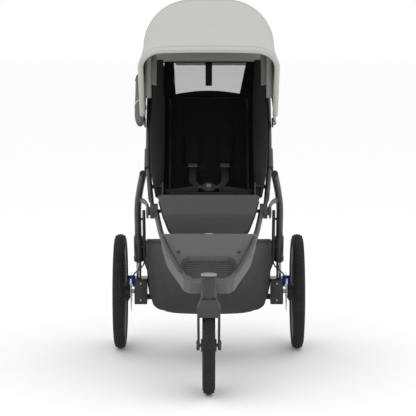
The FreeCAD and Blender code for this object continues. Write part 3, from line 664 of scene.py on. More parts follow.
# ---- sizes a user may change ----
class StrollerClothProperties(bpy.types.PropertyGroup):
    hood_colour: bpy.props.FloatVectorProperty(
        name="Hood", description="Colour of the hood cloth", subtype="COLOR", size=3, min=0, max=1,
        default=(0.50, 0.50, 0.475))
    seat_colour: bpy.props.FloatVectorProperty(
        name="Seat", description="Colour of the seat and backrest", subtype="COLOR", size=3, min=0, max=1,
        default=(0.0045, 0.0045, 0.0048))
    wall_colour: bpy.props.FloatVectorProperty(
        name="Side walls", description="Colour of the seat's side walls", subtype="COLOR", size=3, min=0,
        max=1,
        default=(0.034, 0.034, 0.034))
    flap_colour: bpy.props.FloatVectorProperty(
        name="Leg flap", description="Colour of the leg flap", subtype="COLOR", size=3, min=0, max=1,
        default=(0.075, 0.075, 0.075))
    basket_colour: bpy.props.FloatVectorProperty(
        name="Basket", description="Colour of the basket cloth", subtype="COLOR", size=3, min=0, max=1,
        default=(0.036, 0.036, 0.037))
    hood_sag: bpy.props.FloatProperty(
        name="Hood sag", description="How far the hood dips between two bows", unit="LENGTH", default=0.006,
        min=0, max=0.03)
    basket_sag: bpy.props.FloatProperty(
        name="Basket sag", description="How far the basket's floor dips", unit="LENGTH", default=0.012,
        min=0, max=0.04)


class StrollerFrameProperties(bpy.types.PropertyGroup):
    frame_colour: bpy.props.FloatVectorProperty(
        name="Frame", description="Colour of the painted tubes", subtype="COLOR", size=3, min=0, max=1,
        default=(0.045, 0.045, 0.045))
    fork_colour: bpy.props.FloatVectorProperty(
        name="Fork", description="Colour of the fork and steering head", subtype="COLOR", size=3, min=0,
        max=1,
        default=(0.040, 0.040, 0.041))
    platform_colour: bpy.props.FloatVectorProperty(
        name="Footrest", description="Colour of the footrest platform", subtype="COLOR", size=3, min=0, max=1,
        default=(0.085, 0.085, 0.085))
    edge: bpy.props.FloatProperty(
        name="Edge softening", description="Radius given to hard edges", unit="LENGTH", default=0.0012,
        min=0, max=0.004)
    tread_blocks: bpy.props.IntProperty(
        name="Tread blocks", description="Blocks in one row round a rear tyre", default=96, min=24, max=200)


class StrollerStageProperties(bpy.types.PropertyGroup):
    distance: bpy.props.FloatProperty(
        name="Camera distance", description="From the camera to the rear axle", unit="LENGTH",
        default=6.4735, min=1, max=20)
    height: bpy.props.FloatProperty(
        name="Camera height", description="Above the floor", unit="LENGTH", default=1.2145, min=0, max=5)
    pitch: bpy.props.FloatProperty(
        name="Camera pitch", description="How far the camera looks down", subtype="ANGLE",
        default=math.radians(6.3585))
    lens: bpy.props.FloatProperty(
        name="Lens", description="Focal length in millimetres", default=161.46, min=20, max=400)
    light: bpy.props.FloatProperty(
        name="Light", description="Strength of the soft lights", default=1.0, min=0, max=5)


# ---- hood ----
# each bow: angle of its plane, half-width at its foot, half-width above, reach, corner radius
BOW_ANGLE = {"rear": 55.0, "mid": 87.2, "front": 129.2}
BOW_SHAPE = {
    "rear": (0.224, 0.206, 0.424, 0.150),
    "mid": (0.224, 0.213, 0.408, 0.152),
    "front": (0.224, 0.225, 0.322, 0.074),
}
BOW_RADIUS = 0.0045
HOOD_THICK = 0.0016
HOOD_FOOT = {"rear": 0.110, "mid": 0.066, "front": 0.040}
HOOD_COLUMNS = 72


def plane_point(angle, x, reach):
    a = math.radians(angle)
    return Vector((x, PIVOT.y + reach * math.cos(a), PIVOT.z + reach * math.sin(a)))


def arch_outline(bow, grow=0.0, foot=None, crown=0.003, count=HOOD_COLUMNS):
    """count + 1 evenly spaced (x, reach) points over a bow, from its right foot to its left foot."""
    low, wide, reach, corner = BOW_SHAPE[bow]
    low, wide, reach, corner = low + grow, wide + grow, reach + grow, corner + grow
    foot = HOOD_FOOT[bow] if foot is None else foot
    half = [(low, foot), (wide, reach - corner)]
    half += [(wide - corner * (1 - math.cos(a)), reach - corner * (1 - math.sin(a)))
             for a in (math.radians(90 * k / 12) for k in range(1, 13))]
    top = wide - corner
    half += [(top * (1 - k / 8), reach + crown * (1 - (1 - k / 8) ** 2)) for k in range(1, 9)]
    line = [(-x, r) for x, r in half] + list(reversed(half))[1:]
    lengths = [0.0]
    for (x0, r0), (x1, r1) in zip(line, line[1:]):
        lengths.append(lengths[-1] + math.hypot(x1 - x0, r1 - r0))
    out, k = [], 0
    for i in range(count + 1):
        want = lengths[-1] * i / count
        while k < len(line) - 2 and lengths[k + 1] < want:
            k += 1
        share = (want - lengths[k]) / max(lengths[k + 1] - lengths[k], 1e-9)
        out.append(tuple(p + (q - p) * share for p, q in zip(line[k], line[k + 1])))
    return out


def bow_line(bow, grow=0.0, foot=None, turn=0.0, crown=0.003, count=HOOD_COLUMNS):
    return [plane_point(BOW_ANGLE[bow] + turn, x, r) for x, r in arch_outline(bow, grow, foot, crown, count)]


def bow_side(bow):
    """The direction across a bow's tube, at right angles to its plane."""
    a = math.radians(BOW_ANGLE[bow])
    return (0, -math.sin(a), math.cos(a))


def hood_panel(name, bow_a, bow_b, turn_a=0.0, turn_b=0.0, rows=15, inset=0.0, thick=HOOD_THICK):
    """One panel of the hood, which dips a little between its bows and ripples near its lower edges."""
    sag = bpy.context.scene.stroller_cloth.hood_sag
    grow = BOW_RADIUS + 0.0015 + HOOD_THICK - inset
    line_a, line_b = bow_line(bow_a, grow, turn=turn_a), bow_line(bow_b, grow, turn=turn_b)

    def point(t, u):
        i = min(int(u * HOOD_COLUMNS + 0.5), HOOD_COLUMNS)
        a, b = line_a[i], line_b[i]
        p = a.lerp(b, t)
        inward = Vector((0, PIVOT.y, PIVOT.z)) - p
        inward = Vector((inward.x * 0.6, inward.y, inward.z)).normalized()
        dip = sag * 4 * t * (1 - t) * (0.5 + 0.5 * math.sin(math.pi * u))
        ripple = 0.0012 * math.sin(26 * u * math.pi
                                   + 5 * t) * math.sin(math.pi * t) * (1 - math.sin(math.pi * u)) ** 2
        return p + inward * (dip + ripple)

    obj = grid_object(name, rows, HOOD_COLUMNS + 1, point)
    thicken(obj, thick, offset=0.0)
    return obj


def sleeve_strip(name, bow, inner_x, low_reach, side):
    """The strip of cloth inside the hood that holds a bow, seen beside the seat opening."""
    low, wide, reach, corner = BOW_SHAPE[bow]

    def outer_x(r):
        if r <= reach - corner:
            return low + (wide - low) * r / (reach - corner)
        return wide - corner + math.sqrt(max(corner ** 2 - (r - reach + corner) ** 2, 0.0))

    top = reach - corner + math.sqrt(max(corner ** 2 - (inner_x + 0.010 - wide + corner) ** 2, 0.0))

    def point(t, u):
        r = low_reach + (top - low_reach) * t
        outer = outer_x(r) + 0.002
        x = outer + (inner_x - outer) * u
        wave = 0.0016 * math.sin(9 * t) * u
        return plane_point(BOW_ANGLE[bow] + math.degrees(0.010 * math.sin(math.pi * u) / max(r, 0.05)),
                           side * x, r) + Vector((0, wave, 0))

    obj = grid_object(name, 18, 7, point)
    return thicken(obj, 0.003, offset=0.0)


class STROLLER_OT_hood(bpy.types.Operator):
    """Builds the hood: two panels, its back, rim, piping, seams and bow sleeves"""
    bl_idname = "stroller.hood"
    bl_label = "Hood"

    def execute(self, context):
        cloth, painted_shade_lining = finish_named("hood cloth"), finish_named("hood lining")
        bodies = {"rear": "upper_frame", "mid": "canopy_mid", "front": "canopy_front"}
        for name, a, b, node, turn in (
            ("hood_panel_rear", "rear", "mid", "canopy_panel_rear", 0.0),
            ("hood_panel_front", "mid", "front", "canopy_panel_front", -1.0),
        ):
            panel = hood_panel(name, a, b, turn_b=turn)
            settle(panel, cloth, None, "canopy_fabric", node)
            # A thin inner sheet of the darkened hood cloth: painted shade inside the hood.
            inner = hood_panel(name + "_lining", a, b, turn_b=turn, inset=0.0026, thick=0.0006)
            settle(inner, painted_shade_lining, None, "canopy_fabric")
            for sheet in (panel, inner):
                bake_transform(sheet)
        dress("canopy_bow_front", finish_named("bow alloy"), 0.0)
        rim = sweep("hood_rim", bow_line("front", 0.001, foot=0.036), round_section(0.0098, 18, 0.0092),
                    bow_side("front"))
        settle(rim, cloth, "canopy_front", "canopy_fabric")
        for turn, radius, label in ((-1.9, 0.0015, "rim_piping_outer"), (1.3, 0.0011, "rim_piping_inner")):
            line = bow_line("front", 0.0072, foot=0.040, turn=turn)
            piping = sweep(label, line, round_section(radius, 8), bow_side("front"))
            settle(piping, cloth, "canopy_front", "canopy_fabric")
        for bow in ("rear", "mid"):
            line = bow_line(bow, BOW_RADIUS + 0.0034)
            seam = sweep("hood_seam_" + bow, line, round_section(0.0013, 8), bow_side(bow))
            settle(seam, cloth, bodies[bow], "canopy_fabric")
        for bow, inner, low in (("rear", 0.181, 0.148), ("mid", 0.196, 0.084)):
            for side, label in ((1, "left"), (-1, "right")):
                strip = sleeve_strip(f"bow_sleeve_{bow}_{label}", bow, inner, low, side)
                settle(strip, finish_named("sleeve cloth"), bodies[bow], "canopy_fabric")
        self.back_panel(cloth)
        return {"FINISHED"}

    def back_panel(self, cloth):
        """The hood's back, from the rear bow down to the mesh window."""
        grow = BOW_RADIUS + 0.0015
        upper = [p for p in bow_line("rear", grow) if p.z > plane_point(BOW_ANGLE["rear"], 0, 0.302).z]
        low_y, low_z, half = 0.461, 0.998, 0.198
        n = len(upper) - 1

        def point(t, u):
            top = upper[min(int(u * n + 0.5), n)]
            bottom = Vector((half * (2 * u - 1) if upper[0].x < upper[-1].x else half * (1 - 2 * u), low_y,
                             low_z))
            return top.lerp(bottom, t) + Vector((0, 0.010 * math.sin(math.pi * t) * math.sin(math.pi * u), 0))

        back = grid_object("hood_back", 12, n + 1, point)
        thicken(back, HOOD_THICK, offset=0.0)
        settle(back, cloth, "upper_frame", "canopy_fabric", "canopy_back")


# ---- seat ----
BACK_LEAN = math.radians(60)
BACK_LENGTH = 0.428
SEAT_SLOPE = (0.551 - 0.590) / 0.240


def back_point(distance, depth=0.0, x=0.0):
    """A point up the backrest's front face from the bight, and depth behind that face."""
    along = Vector((0, math.cos(BACK_LEAN), math.sin(BACK_LEAN)))
    behind = Vector((0, math.sin(BACK_LEAN), -math.cos(BACK_LEAN)))
    return Vector((x, BIGHT.y, BIGHT.z)) + along * distance + behind * depth


def seat_point(x, y, depth=0.0):
    """A point on the seat's top face, and depth under it."""
    return Vector((x, y, 0.590 + (y + 0.050) * SEAT_SLOPE - depth))


def slab(name, place, x0, x1, v0, v1, d0, d1, edge=0.008, cuts=10):
    """A rounded slab in its own coordinates (x, v, depth), put in place by a function."""
    bm = bmesh.new()
    bmesh.ops.create_cube(bm, size=1.0)
    bmesh.ops.transform(bm, matrix=Matrix.Diagonal((x1 - x0, v1 - v0, d1 - d0, 1)), verts=bm.verts)
    bmesh.ops.transform(bm, matrix=Matrix.Translation(((x0 + x1) / 2, (v0 + v1) / 2, (d0 + d1) / 2)),
                        verts=bm.verts)
    bmesh.ops.bevel(bm, geom=list(bm.edges), offset=edge, segments=3, affect="EDGES", profile=0.5)
    for v in bm.verts:
        v.co = place(*v.co)
    mesh = bpy.data.meshes.new(name)
    bmesh.ops.recalc_face_normals(bm, faces=bm.faces)
    bm.to_mesh(mesh)
    bm.free()
    mesh.polygons.foreach_set("use_smooth", [True] * len(mesh.polygons))
    return add_object(name, mesh)


def sew(obj, measure, lines, depth, normal, width=0.004):
    """Presses seams into a pad.

    measure gives a vertex its (a, b) coordinates, and a line is (axis, value, low, high).
    """
    for v in obj.data.vertices:
        ab = measure(v.co)
        pull = 0.0
        for axis, value, low, high in lines:
            if low - 0.01 < ab[1 - axis] < high + 0.01:
                pull = max(pull, math.exp(-((ab[axis] - value) / width) ** 2))
        if pull > 0.01:
            facing = v.normal.dot(-Vector(normal))
            v.co = v.co + Vector(normal) * depth * pull * max(0.0, facing)
    obj.data.update()


# the side walls' stations: front edge and back edge, as (y, z, outer x)
WALL_STATIONS = [
    ((0.010, 0.568, 0.176), (0.190, 0.540, 0.164)), ((0.008, 0.636, 0.188), (0.297, 0.601, 0.160)),
    ((0.056, 0.668, 0.193), (0.337, 0.670, 0.158)), ((0.150, 0.760, 0.197), (0.377, 0.740, 0.158)),
    ((0.238, 0.842, 0.198), (0.415, 0.805, 0.158)), ((0.330, 0.922, 0.198), (0.452, 0.905, 0.160)),
    ((0.412, 1.006, 0.196), (0.450, 1.006, 0.164)),
]


class STROLLER_OT_seat(bpy.types.Operator):
    """Builds the padded seat: cushion, backrest, side walls and mesh window"""
    bl_idname = "stroller.seat"
    bl_label = "Seat"

    def execute(self, context):
        cloth = finish_named("seat cloth")
        self.cushion(cloth)
        self.backrest(cloth)
        self.walls()
        self.window()
        for node in ("seat_base", "backrest_board"):
            dress(node, finish_named("black plastic"), 0.0012)
        return {"FINISHED"}

    def cushion(self, cloth):
        low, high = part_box("seat_pad")
        pad = slab("seat_cushion", lambda x, y, d: seat_point(x, y, d),
                   low[0] + 0.004, high[0] - 0.004, low[1] + 0.004, high[1] - 0.005, 0.003, 0.024)
        cushion_sim(pad, 0.006)
        sew(pad, lambda co: (co.x, co.y), [(0, -0.078, -0.04, 0.18), (0, 0.078, -0.04, 0.18),
                                           (1, 0.06, -0.078, 0.078)],
            0.005, (0, 0, -1))
        subdivide(pad)
        settle(pad, cloth, "upper_frame", "seat_fabric", "seat_pad")

    def backrest(self, cloth):
        low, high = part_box("backrest_pad")
        pad = slab("backrest_cushion", lambda x, v, d: back_point(v, d, x),
                   low[0] + 0.004, high[0] - 0.004, 0.038, BACK_LENGTH - 0.004, 0.004, 0.024)
        cushion_sim(pad, 0.006)
        along = Vector((0, math.cos(BACK_LEAN), math.sin(BACK_LEAN)))
        behind = (0, math.sin(BACK_LEAN), -math.cos(BACK_LEAN))
        sew(pad, lambda co: (co.x, (co - BIGHT).dot(along)),
            [(0, -0.092, 0.05, 0.40), (0, 0.092, 0.05, 0.40), (1, 0.290, -0.092, 0.092),
             (1, 0.120, -0.092, 0.092)],
            0.005, behind)
        subdivide(pad)
        settle(pad, cloth, "backrest", "seat_fabric", "backrest_pad")

    def walls(self):
        """Side walls that curve from the upper tubes back to the backrest, with soft gussets behind them."""
        front = spline_points([(x - 0.003, y, z) for (y, z, x), _ in WALL_STATIONS], 8)
        rear = spline_points([(x - 0.003, y, z) for _, (y, z, x) in WALL_STATIONS], 8)
        n = len(front) - 1
        for side, label in ((1, "left"), (-1, "right")):
            def point(t, u):
                i = min(int(t * n + 0.5), n)
                p = front[i].lerp(rear[i], u)
                swell = 0.0025 * math.sin(math.pi * u) * math.sin(5 * math.pi * t)
                bow = 0.004 * math.sin(math.pi * u) * math.sin(math.pi * t)
                return Vector((side * (p.x + swell + bow), p.y, p.z))

            wall = grid_object("side_wall_" + label, n + 1, 16, point)
            thicken(wall, 0.004, offset=0.0)
            if label == "left":
                settle(wall, finish_named("wall cloth"), "upper_frame", "wall_fabric", "side_wings")
            else:
                settle(wall, finish_named("wall cloth"), "upper_frame", "wall_fabric")
            edge = [point(i / n, 0.0) for i in range(n + 1)]
            hem = sweep("side_wall_binding_" + label, edge, round_section(0.0032, 8))
            settle(hem, finish_named("binding"), "upper_frame", "webbing")
            def base_point(t, u):
                y = -0.046 + 0.346 * t
                z = 0.578 - (y + 0.05) * 0.16 + max(0.0, y - 0.16) * 0.42 - 0.006 * math.sin(math.pi * u)
                return Vector((side * (0.138 + 0.026 * u), y, z))

            base = grid_object("seat_side_gusset_" + label, 14, 6, base_point)
            thicken(base, 0.002, offset=0.0)
            settle(base, finish_named("seat cloth"), "upper_frame", "seat_fabric")
            back_edge = [point(i / n, 1.0) for i in range(n + 1) if point(i / n, 1.0).y > 0.215]
            rows = len(back_edge) - 1

            def gusset_point(t, u):
                i = min(int(t * rows + 0.5), rows)
                near = back_edge[i]
                share = (near - BIGHT).dot(back_point(1.0) - BIGHT)
                far = back_point(min(max(share, 0.012), BACK_LENGTH - 0.006), 0.016, side * 0.139)
                return near.lerp(far, u) + Vector((0, 0.006 * math.sin(math.pi * u), 0))

            gusset = grid_object("back_gusset_" + label, rows + 1, 7, gusset_point)
            thicken(gusset, 0.002, offset=0.0)
            settle(gusset, finish_named("seat cloth"), None, "seat_fabric")
            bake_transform(gusset)

    def window(self):
        """A dark cloth panel above the backrest with a striped mesh window and a strap down its middle."""
        low, high = Vector((0, 0.4385, 0.884)), Vector((0, 0.4565, 0.998))
        half_top, half_low, arch = 0.131, 0.116, 0.012
        normal = (high - low).cross(Vector((1, 0, 0))).normalized()

        def panel_point(x, t, out=0.0):
            return low.lerp(high, t) + Vector((x, 0, 0)) - normal * out

        def hole(u):
            """The window's outline as (x, t): along its arched lower edge, then back along its top."""
            if u < 0.5:
                s = 4 * u - 1
                return half_low * s, 0.02 + arch * (1 - s * s) / 0.114
            s = 3 - 4 * u
            return half_top * s, 0.985

        def rim_point(u):
            if u < 0.5:
                return 0.157 * (4 * u - 1), -0.02
            return 0.168 * (3 - 4 * u), 1.01

        def surround(v, u):
            (x0, t0), (x1, t1) = hole(u), rim_point(u)
            return panel_point(x0 + (x1 - x0) * v, t0 + (t1 - t0) * v)

        frame_sheet = grid_object("window_surround", 4, 60, surround, close_cols=True)
        thicken(frame_sheet, 0.003, offset=0.0)
        settle(frame_sheet, finish_named("seat cloth"), "upper_frame", "seat_fabric", "mesh_window")

        def mesh_point(t, u):
            s = 2 * u - 1
            bottom, top = 0.02 + arch * (1 - s * s) / 0.114, 0.985
            half = half_low + (half_top - half_low) * t
            return panel_point(half * s, bottom + (top - bottom) * t, 0.0005)

        def bridge_point(t, u):
            x = 2 * u - 1
            near, far = back_point(BACK_LENGTH - 0.016, 0.012, 0.1425 * x), panel_point(0.161 * x, -0.01)
            return near.lerp(far, t) + Vector((0, 0.004 * math.sin(math.pi * t), 0))

        bridge = grid_object("window_bridge", 7, 20, bridge_point)
        thicken(bridge, 0.002, offset=0.0)
        settle(bridge, finish_named("seat cloth"), None, "seat_fabric")
        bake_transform(bridge)
        net = grid_object("window_mesh", 8, 24, mesh_point)
        settle(net, finish_named("window mesh"), "upper_frame", "mesh_fabric")
        strap = sweep("window_strap", [panel_point(0, t, 0.004) for t in (0.27, 0.5, 0.75, 1.0)],
                      [(a, b) for a, b in flat_section(0.023, 0.002)])
        settle(strap, finish_named("webbing"), "upper_frame", "webbing")


class STROLLER_OT_harness(bpy.types.Operator):
    """Builds the harness: shoulder pads, straps, waist belts, buckle and its button"""
    bl_idname = "stroller.harness"
    bl_label = "Harness"

    def execute(self, context):
        webbing = finish_named("webbing")
        pads = []
        for x in (-0.057, 0.057):
            pad = slab("pad", lambda a, v, d, x=x: back_point(v, d, a + x), -0.025, 0.025, 0.152, 0.260,
                       -0.0165, -0.005, 0.004)
            pads.append(cushion_sim(pad, 0.003, 0.003))
        both = join("shoulder_pads_soft", pads)
        both.data.polygons.foreach_set("use_smooth", [True] * len(both.data.polygons))
        settle(both, finish_named("seat cloth"), "backrest", "seat_fabric", "shoulder_pads")
        for side, label in ((1, "left"), (-1, "right")):
            x = 0.055 * side
            route = [
                back_point(0.152, -0.010, x), back_point(0.120, -0.013, x), Vector((x, 0.180, 0.617)),
                Vector((x * 0.98, 0.120, 0.611)), Vector((x * 0.80, 0.078, 0.603)),
                Vector((x * 0.66, 0.058, 0.600)),
            ]
            strap = sweep("shoulder_strap_" + label, spline_points(route, 6), flat_section(0.024, 0.002))
            if side > 0:
                settle(strap, webbing, None, "webbing", "shoulder_straps")
            else:
                settle(strap, webbing, None, "webbing")
            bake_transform(strap)
            slide = slab("strap_slide_" + label, lambda a, b, c,
                         s=x: back_point(0.142 + b, -0.012 + c, a + s),
                         -0.0165, 0.0165, -0.008, 0.008, -0.003, 0.003, 0.0012)
            settle(slide, finish_named("black plastic"), "backrest", "black_plastic")
            route = [seat_point(side * 0.030, 0.056, -0.012), seat_point(side * 0.060, 0.066, -0.010),
                     seat_point(side * 0.105, 0.088, -0.005), seat_point(side * 0.138, 0.104, -0.004)]
            belt = sweep("waist_belt_" + label, spline_points(route, 6), flat_section(0.002, 0.030),
                         side=(0, 0.25, 1))
            if side > 0:
                settle(belt, webbing, "upper_frame", "webbing", "waist_harness")
            else:
                settle(belt, webbing, "upper_frame", "webbing")
        crotch = [seat_point(0, 0.062, -0.001), seat_point(0, 0.056, -0.008), seat_point(0, 0.048, -0.018)]
        settle(sweep("crotch_strap", spline_points(crotch, 5), flat_section(0.028, 0.002)), webbing,
               "upper_frame", "webbing")
        dress("buckle", finish_named("black plastic"), 0.0015, 3)
        dress("buckle_button", finish_named("grey plastic"), 0.0015, 3)
        return {"FINISHED"}


# ---- leg flap ----
FLAP_LINE = [(-0.0565, 0.5825), (-0.0690, 0.5560), (-0.0925, 0.5160), (-0.1100, 0.4880), (-0.1275, 0.4620)]
FLAP_HALF = [(0.590, 0.1710), (0.516, 0.1480), (0.462, 0.1250)]


def between(value, table):
    """Reads a falling table of (key, value) pairs."""
    for (k0, v0), (k1, v1) in zip(table, table[1:]):
        if k1 <= value <= k0:
            return v0 + (v1 - v0) * (k0 - value) / (k0 - k1)
    return table[0][1] if value > table[0][0] else table[-1][1]


class STROLLER_OT_leg_flap(bpy.types.Operator):
    """Builds the leg flap with its rounded corners, crease, hem and tab"""
    bl_idname = "stroller.leg_flap"
    bl_label = "Leg flap"

    def execute(self, context):
        line = spline_points([(0, y, z) for y, z in FLAP_LINE], 7)
        n = len(line) - 1
        normal = Vector((0, -0.87, 0.48))

        def point(t, u, out=0.0):
            s = 2 * u - 1
            corner_top, corner_low = 0.10, 0.13
            squeeze = 1.0
            if t > 1 - corner_low:
                squeeze = 1 - 0.13 * (1 - math.sqrt(max(0.0, 1 - ((t - 1 + corner_low) / corner_low) ** 2)))
            if t < corner_top:
                squeeze = 1 - 0.10 * (1 - math.sqrt(max(0.0, 1 - ((corner_top - t) / corner_top) ** 2)))
            i = min(int(t * n), n - 1)
            p = line[i].lerp(line[i + 1], t * n - i)
            x = between(p.z, FLAP_HALF) * squeeze * s
            belly = 0.005 * (1 - s ** 4) * math.sin(math.pi * min(t * 1.15, 1.0))
            crease = -0.0035 * math.exp(-((p.z - 0.516) / 0.004) ** 2)
            ripple = 0.0008 * math.sin(11 * s + 3 * t) * math.sin(math.pi * t)
            return Vector((x, p.y, p.z)) + normal * (belly + crease + ripple + out - 0.003)

        flap = grid_object("leg_flap_cloth", 64, 48, point)
        thicken(flap, 0.005, offset=0.0)
        settle(flap, finish_named("flap cloth"), None, "flap_fabric", "leg_flap")
        flap.data.materials.append(finish_named("flap cloth lower"))
        for face in flap.data.polygons:
            face.material_index = int(face.center.z < 0.516)
        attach(flap, "front_frame")
        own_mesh(flap)
        outline = [point(1.0, k / 24, 0.0) for k in range(25)]
        down = [point(0.2 + 0.8 * k / 16, 0.0) for k in range(16)]
        up = [point(1.0 - 0.8 * k / 16, 1.0) for k in range(1, 17)]
        outline = down + outline + up
        hem = sweep("leg_flap_hem", outline, round_section(0.0030, 8), side=(0, -0.87, 0.48))
        settle(hem, finish_named("binding"), "front_frame", "webbing")
        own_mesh(hem)
        tab = slab("leg_flap_tab", lambda a, b,
                   c: Vector((a, -0.1275, 0.4620)) + Vector((0, 0.35, 0.94)).normalized() * b + normal * c,
                   -0.0135, 0.0135, -0.0075, 0.0015, 0.0015, 0.0045, 0.0008)
        settle(tab, finish_named("tab cloth"), "front_frame", "flap_fabric")
        return {"FINISHED"}


# ---- basket ----
# each section: y, half-width at the rim, half-width at the floor, rim height, floor height
BASKET = [
    (0.322, 0.214, 0.206, 0.384, 0.168),
    (0.270, 0.208, 0.198, 0.388, 0.156),
    (0.205, 0.200, 0.186, 0.399, 0.150),
    (0.100, 0.184, 0.156, 0.411, 0.193),
    (0.000, 0.168, 0.128, 0.424, 0.238),
    (-0.100, 0.145, 0.110, 0.430, 0.289),
    (-0.192, 0.124, 0.092, 0.436, 0.340),
]


def basket_outline(rim, floor, top, low, count=40):
    """A soft U: from one rim down the wall, across the sagging floor and up to the other rim."""
    chosen = [(-rim, top), (-(rim * 0.5 + floor * 0.5) - 0.002, top + (low - top) * 0.5),
              (-(floor + 0.002), low + 0.042),
              (-(floor - 0.010), low + 0.017), (-floor * 0.66, low + 0.002), (0, low - 0.002)]
    chosen += [(-x, z) for x, z in reversed(chosen[:-1])]
    line = spline_points([(x, 0, z) for x, z in chosen], 12)
    return [line[round(k * (len(line) - 1) / count)] for k in range(count + 1)]


class STROLLER_OT_basket(bpy.types.Operator):
    """Builds the storage basket as one sagging cloth shell with a bound rim and its end walls"""
    bl_idname = "stroller.basket"
    bl_label = "Basket"

    def execute(self, context):
        sag = context.scene.stroller_cloth.basket_sag
        sections = spline_points([Vector((s[0], s[1], s[2])) for s in BASKET], 5)
        heights = spline_points([Vector((s[0], s[3], s[4])) for s in BASKET], 5)
        count = 40
        rows = []
        for a, b in zip(sections, heights):
            outline = basket_outline(a.y, a.z, b.y, b.z, count)
            rows.append([Vector((p.x, a.x, p.z)) for p in outline])
        n = len(rows) - 1

        def shell_point(t, u):
            i, j = round(t * n), round(u * count)
            p = rows[i][j].copy()
            s = 2 * u - 1
            side = max(0.0, 1 - (2 * abs(abs(s) - 0.62)) ** 2)
            folds = 0.4 + 0.6 * math.sin(4 * math.pi * t) ** 2
            p.x -= 0.004 * math.copysign(1, s) * side * math.sin(math.pi * t) * folds
            diagonal = math.exp(-((abs(s) - 0.38 + 0.30 * t) / 0.03) ** 2)
            p.z += (0.004 * diagonal - 0.25 * sag * max(0.0, 1 - (1.8 * s) ** 2)) * math.sin(math.pi * t)
            return p

        shell = grid_object("basket_shell", n + 1, count + 1, shell_point)
        walls = []
        for end, row in (("back", 0.0), ("front", 1.0)):
            edge = [shell_point(row, j / count) for j in range(count + 1)]
            top = edge[0].z

            def wall_point(v, u, edge=edge, top=top, end=end):
                p = edge[round(u * count)]
                bulge = 0.006 * math.sin(math.pi * u) * math.sin(math.pi * v) * (-1 if end == "back" else 1)
                return Vector((p.x, p.y + bulge, top + (p.z - top) * v))

            walls.append(grid_object("basket_" + end, 10, count + 1, wall_point))
        whole = join("basket_cloth", [shell, *walls])
        bm = bmesh.new()
        bm.from_mesh(whole.data)
        bmesh.ops.remove_doubles(bm, verts=bm.verts, dist=1e-4)
        bmesh.ops.dissolve_degenerate(bm, dist=1e-6, edges=bm.edges)
        bmesh.ops.recalc_face_normals(bm, faces=bm.faces)
        bm.to_mesh(whole.data)
        bm.free()
        whole.data.polygons.foreach_set("use_smooth", [True] * len(whole.data.polygons))
        thicken(whole, 0.003, offset=0.0)
        settle(whole, finish_named("basket cloth"), None, "basket_fabric", "storage_basket")
        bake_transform(whole)
        left = [shell_point(k / n, 0.0) for k in range(n + 1)]
        right = [shell_point(k / n, 1.0) for k in range(n, -1, -1)]
        front = [left[-1].lerp(right[0], k / 8) for k in range(1, 8)]
        back = [right[-1].lerp(left[0], k / 8) for k in range(1, 8)]
        rim = sweep("basket_rim_binding", left + front + right + back, round_section(0.0050, 8),
                    side=(0, 0, 1), closed=True)
        settle(rim, finish_named("binding"), None, "webbing")
        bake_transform(rim)
        return {"FINISHED"}


# ---- side pocket ----
class STROLLER_OT_pocket(bpy.types.Operator):
    """Builds the cloth pocket beside the right upper tube, with its light trim"""
    bl_idname = "stroller.pocket"
    bl_label = "Side pocket"

    def execute(self, context):
        up = Vector((0, 0.74, 0.67)).normalized()
        fore = Vector((0, -0.67, 0.74)).normalized()
        base = Vector((0, 0.214, 0.790))

        def body_point(t, u):
            """t up the pocket, u round it."""
            a = 2 * math.pi * u
            length = 0.205
            wide = 0.030 * (1 - (1 - min(t / 0.35, 1.0)) ** 2) ** 0.5 + 0.002
            deep = 0.0175 * (1 - (1 - min(t / 0.25, 1.0)) ** 2) ** 0.5 + 0.0005
            centre = base + up * (length * t) + fore * (0.004 + 0.010 * t)
            gather = 1 + 0.04 * math.sin(9 * a) * t ** 2
            out = Vector((-0.234 - deep * math.sin(a) * gather, 0, 0))
            return centre + fore * wide * math.cos(a) * gather + out

        pouch = grid_object("side_pocket_cloth", 26, 40, body_point, close_cols=True)
        thicken(pouch, 0.0016, offset=0.0)
        settle(pouch, finish_named("pocket cloth"), "upper_frame", "pocket_fabric", "side_pocket")
        for t, radius, name, finish in ((0.40, 0.0030, "pocket_trim", "hood cloth"),
                                        (1.0, 0.0026, "pocket_hem", "binding")):
            ring = [body_point(t, k / 40) for k in range(40)]
            band = sweep(name, ring, round_section(radius, 8), side=tuple(up), closed=True)
            settle(band, finish_named(finish), "upper_frame", "pocket_fabric")
        return {"FINISHED"}


# ---- frame ----
def screw_head(name, radius=0.004):
    """A plain domed screw head on its own origin, +Z up."""
    steps = 16
    verts = [(0, 0, 0.0016)]
    for r, z in ((0.3, 0.0016), (0.6, 0.0014), (0.85, 0.0009), (1.0, 0.0)):
        verts += [(radius * r * math.cos(2 * math.pi * k / steps),
                   radius * r * math.sin(2 * math.pi * k / steps), z)
                  for k in range(steps)]
    faces = [(0, 1 + k, 1 + (k + 1) % steps) for k in range(steps)]
    for ring in range(3):
        a, b = 1 + ring * steps, 1 + (ring + 1) * steps
        faces += [(a + k, b + k, b + (k + 1) % steps, a + (k + 1) % steps) for k in range(steps)]
    faces.append(tuple(reversed(range(1 + 3 * steps, 1 + 4 * steps))))
    return mesh_object(name, verts, faces)


def turn_to(obj, normal, at):
    """Moves a finished shape's mesh so that its +Z points along normal."""
    turn = Vector((0, 0, 1)).rotation_difference(Vector(normal)).to_matrix().to_4x4()
    obj.data.transform(Matrix.Translation(Vector(at)) @ turn)
    return obj


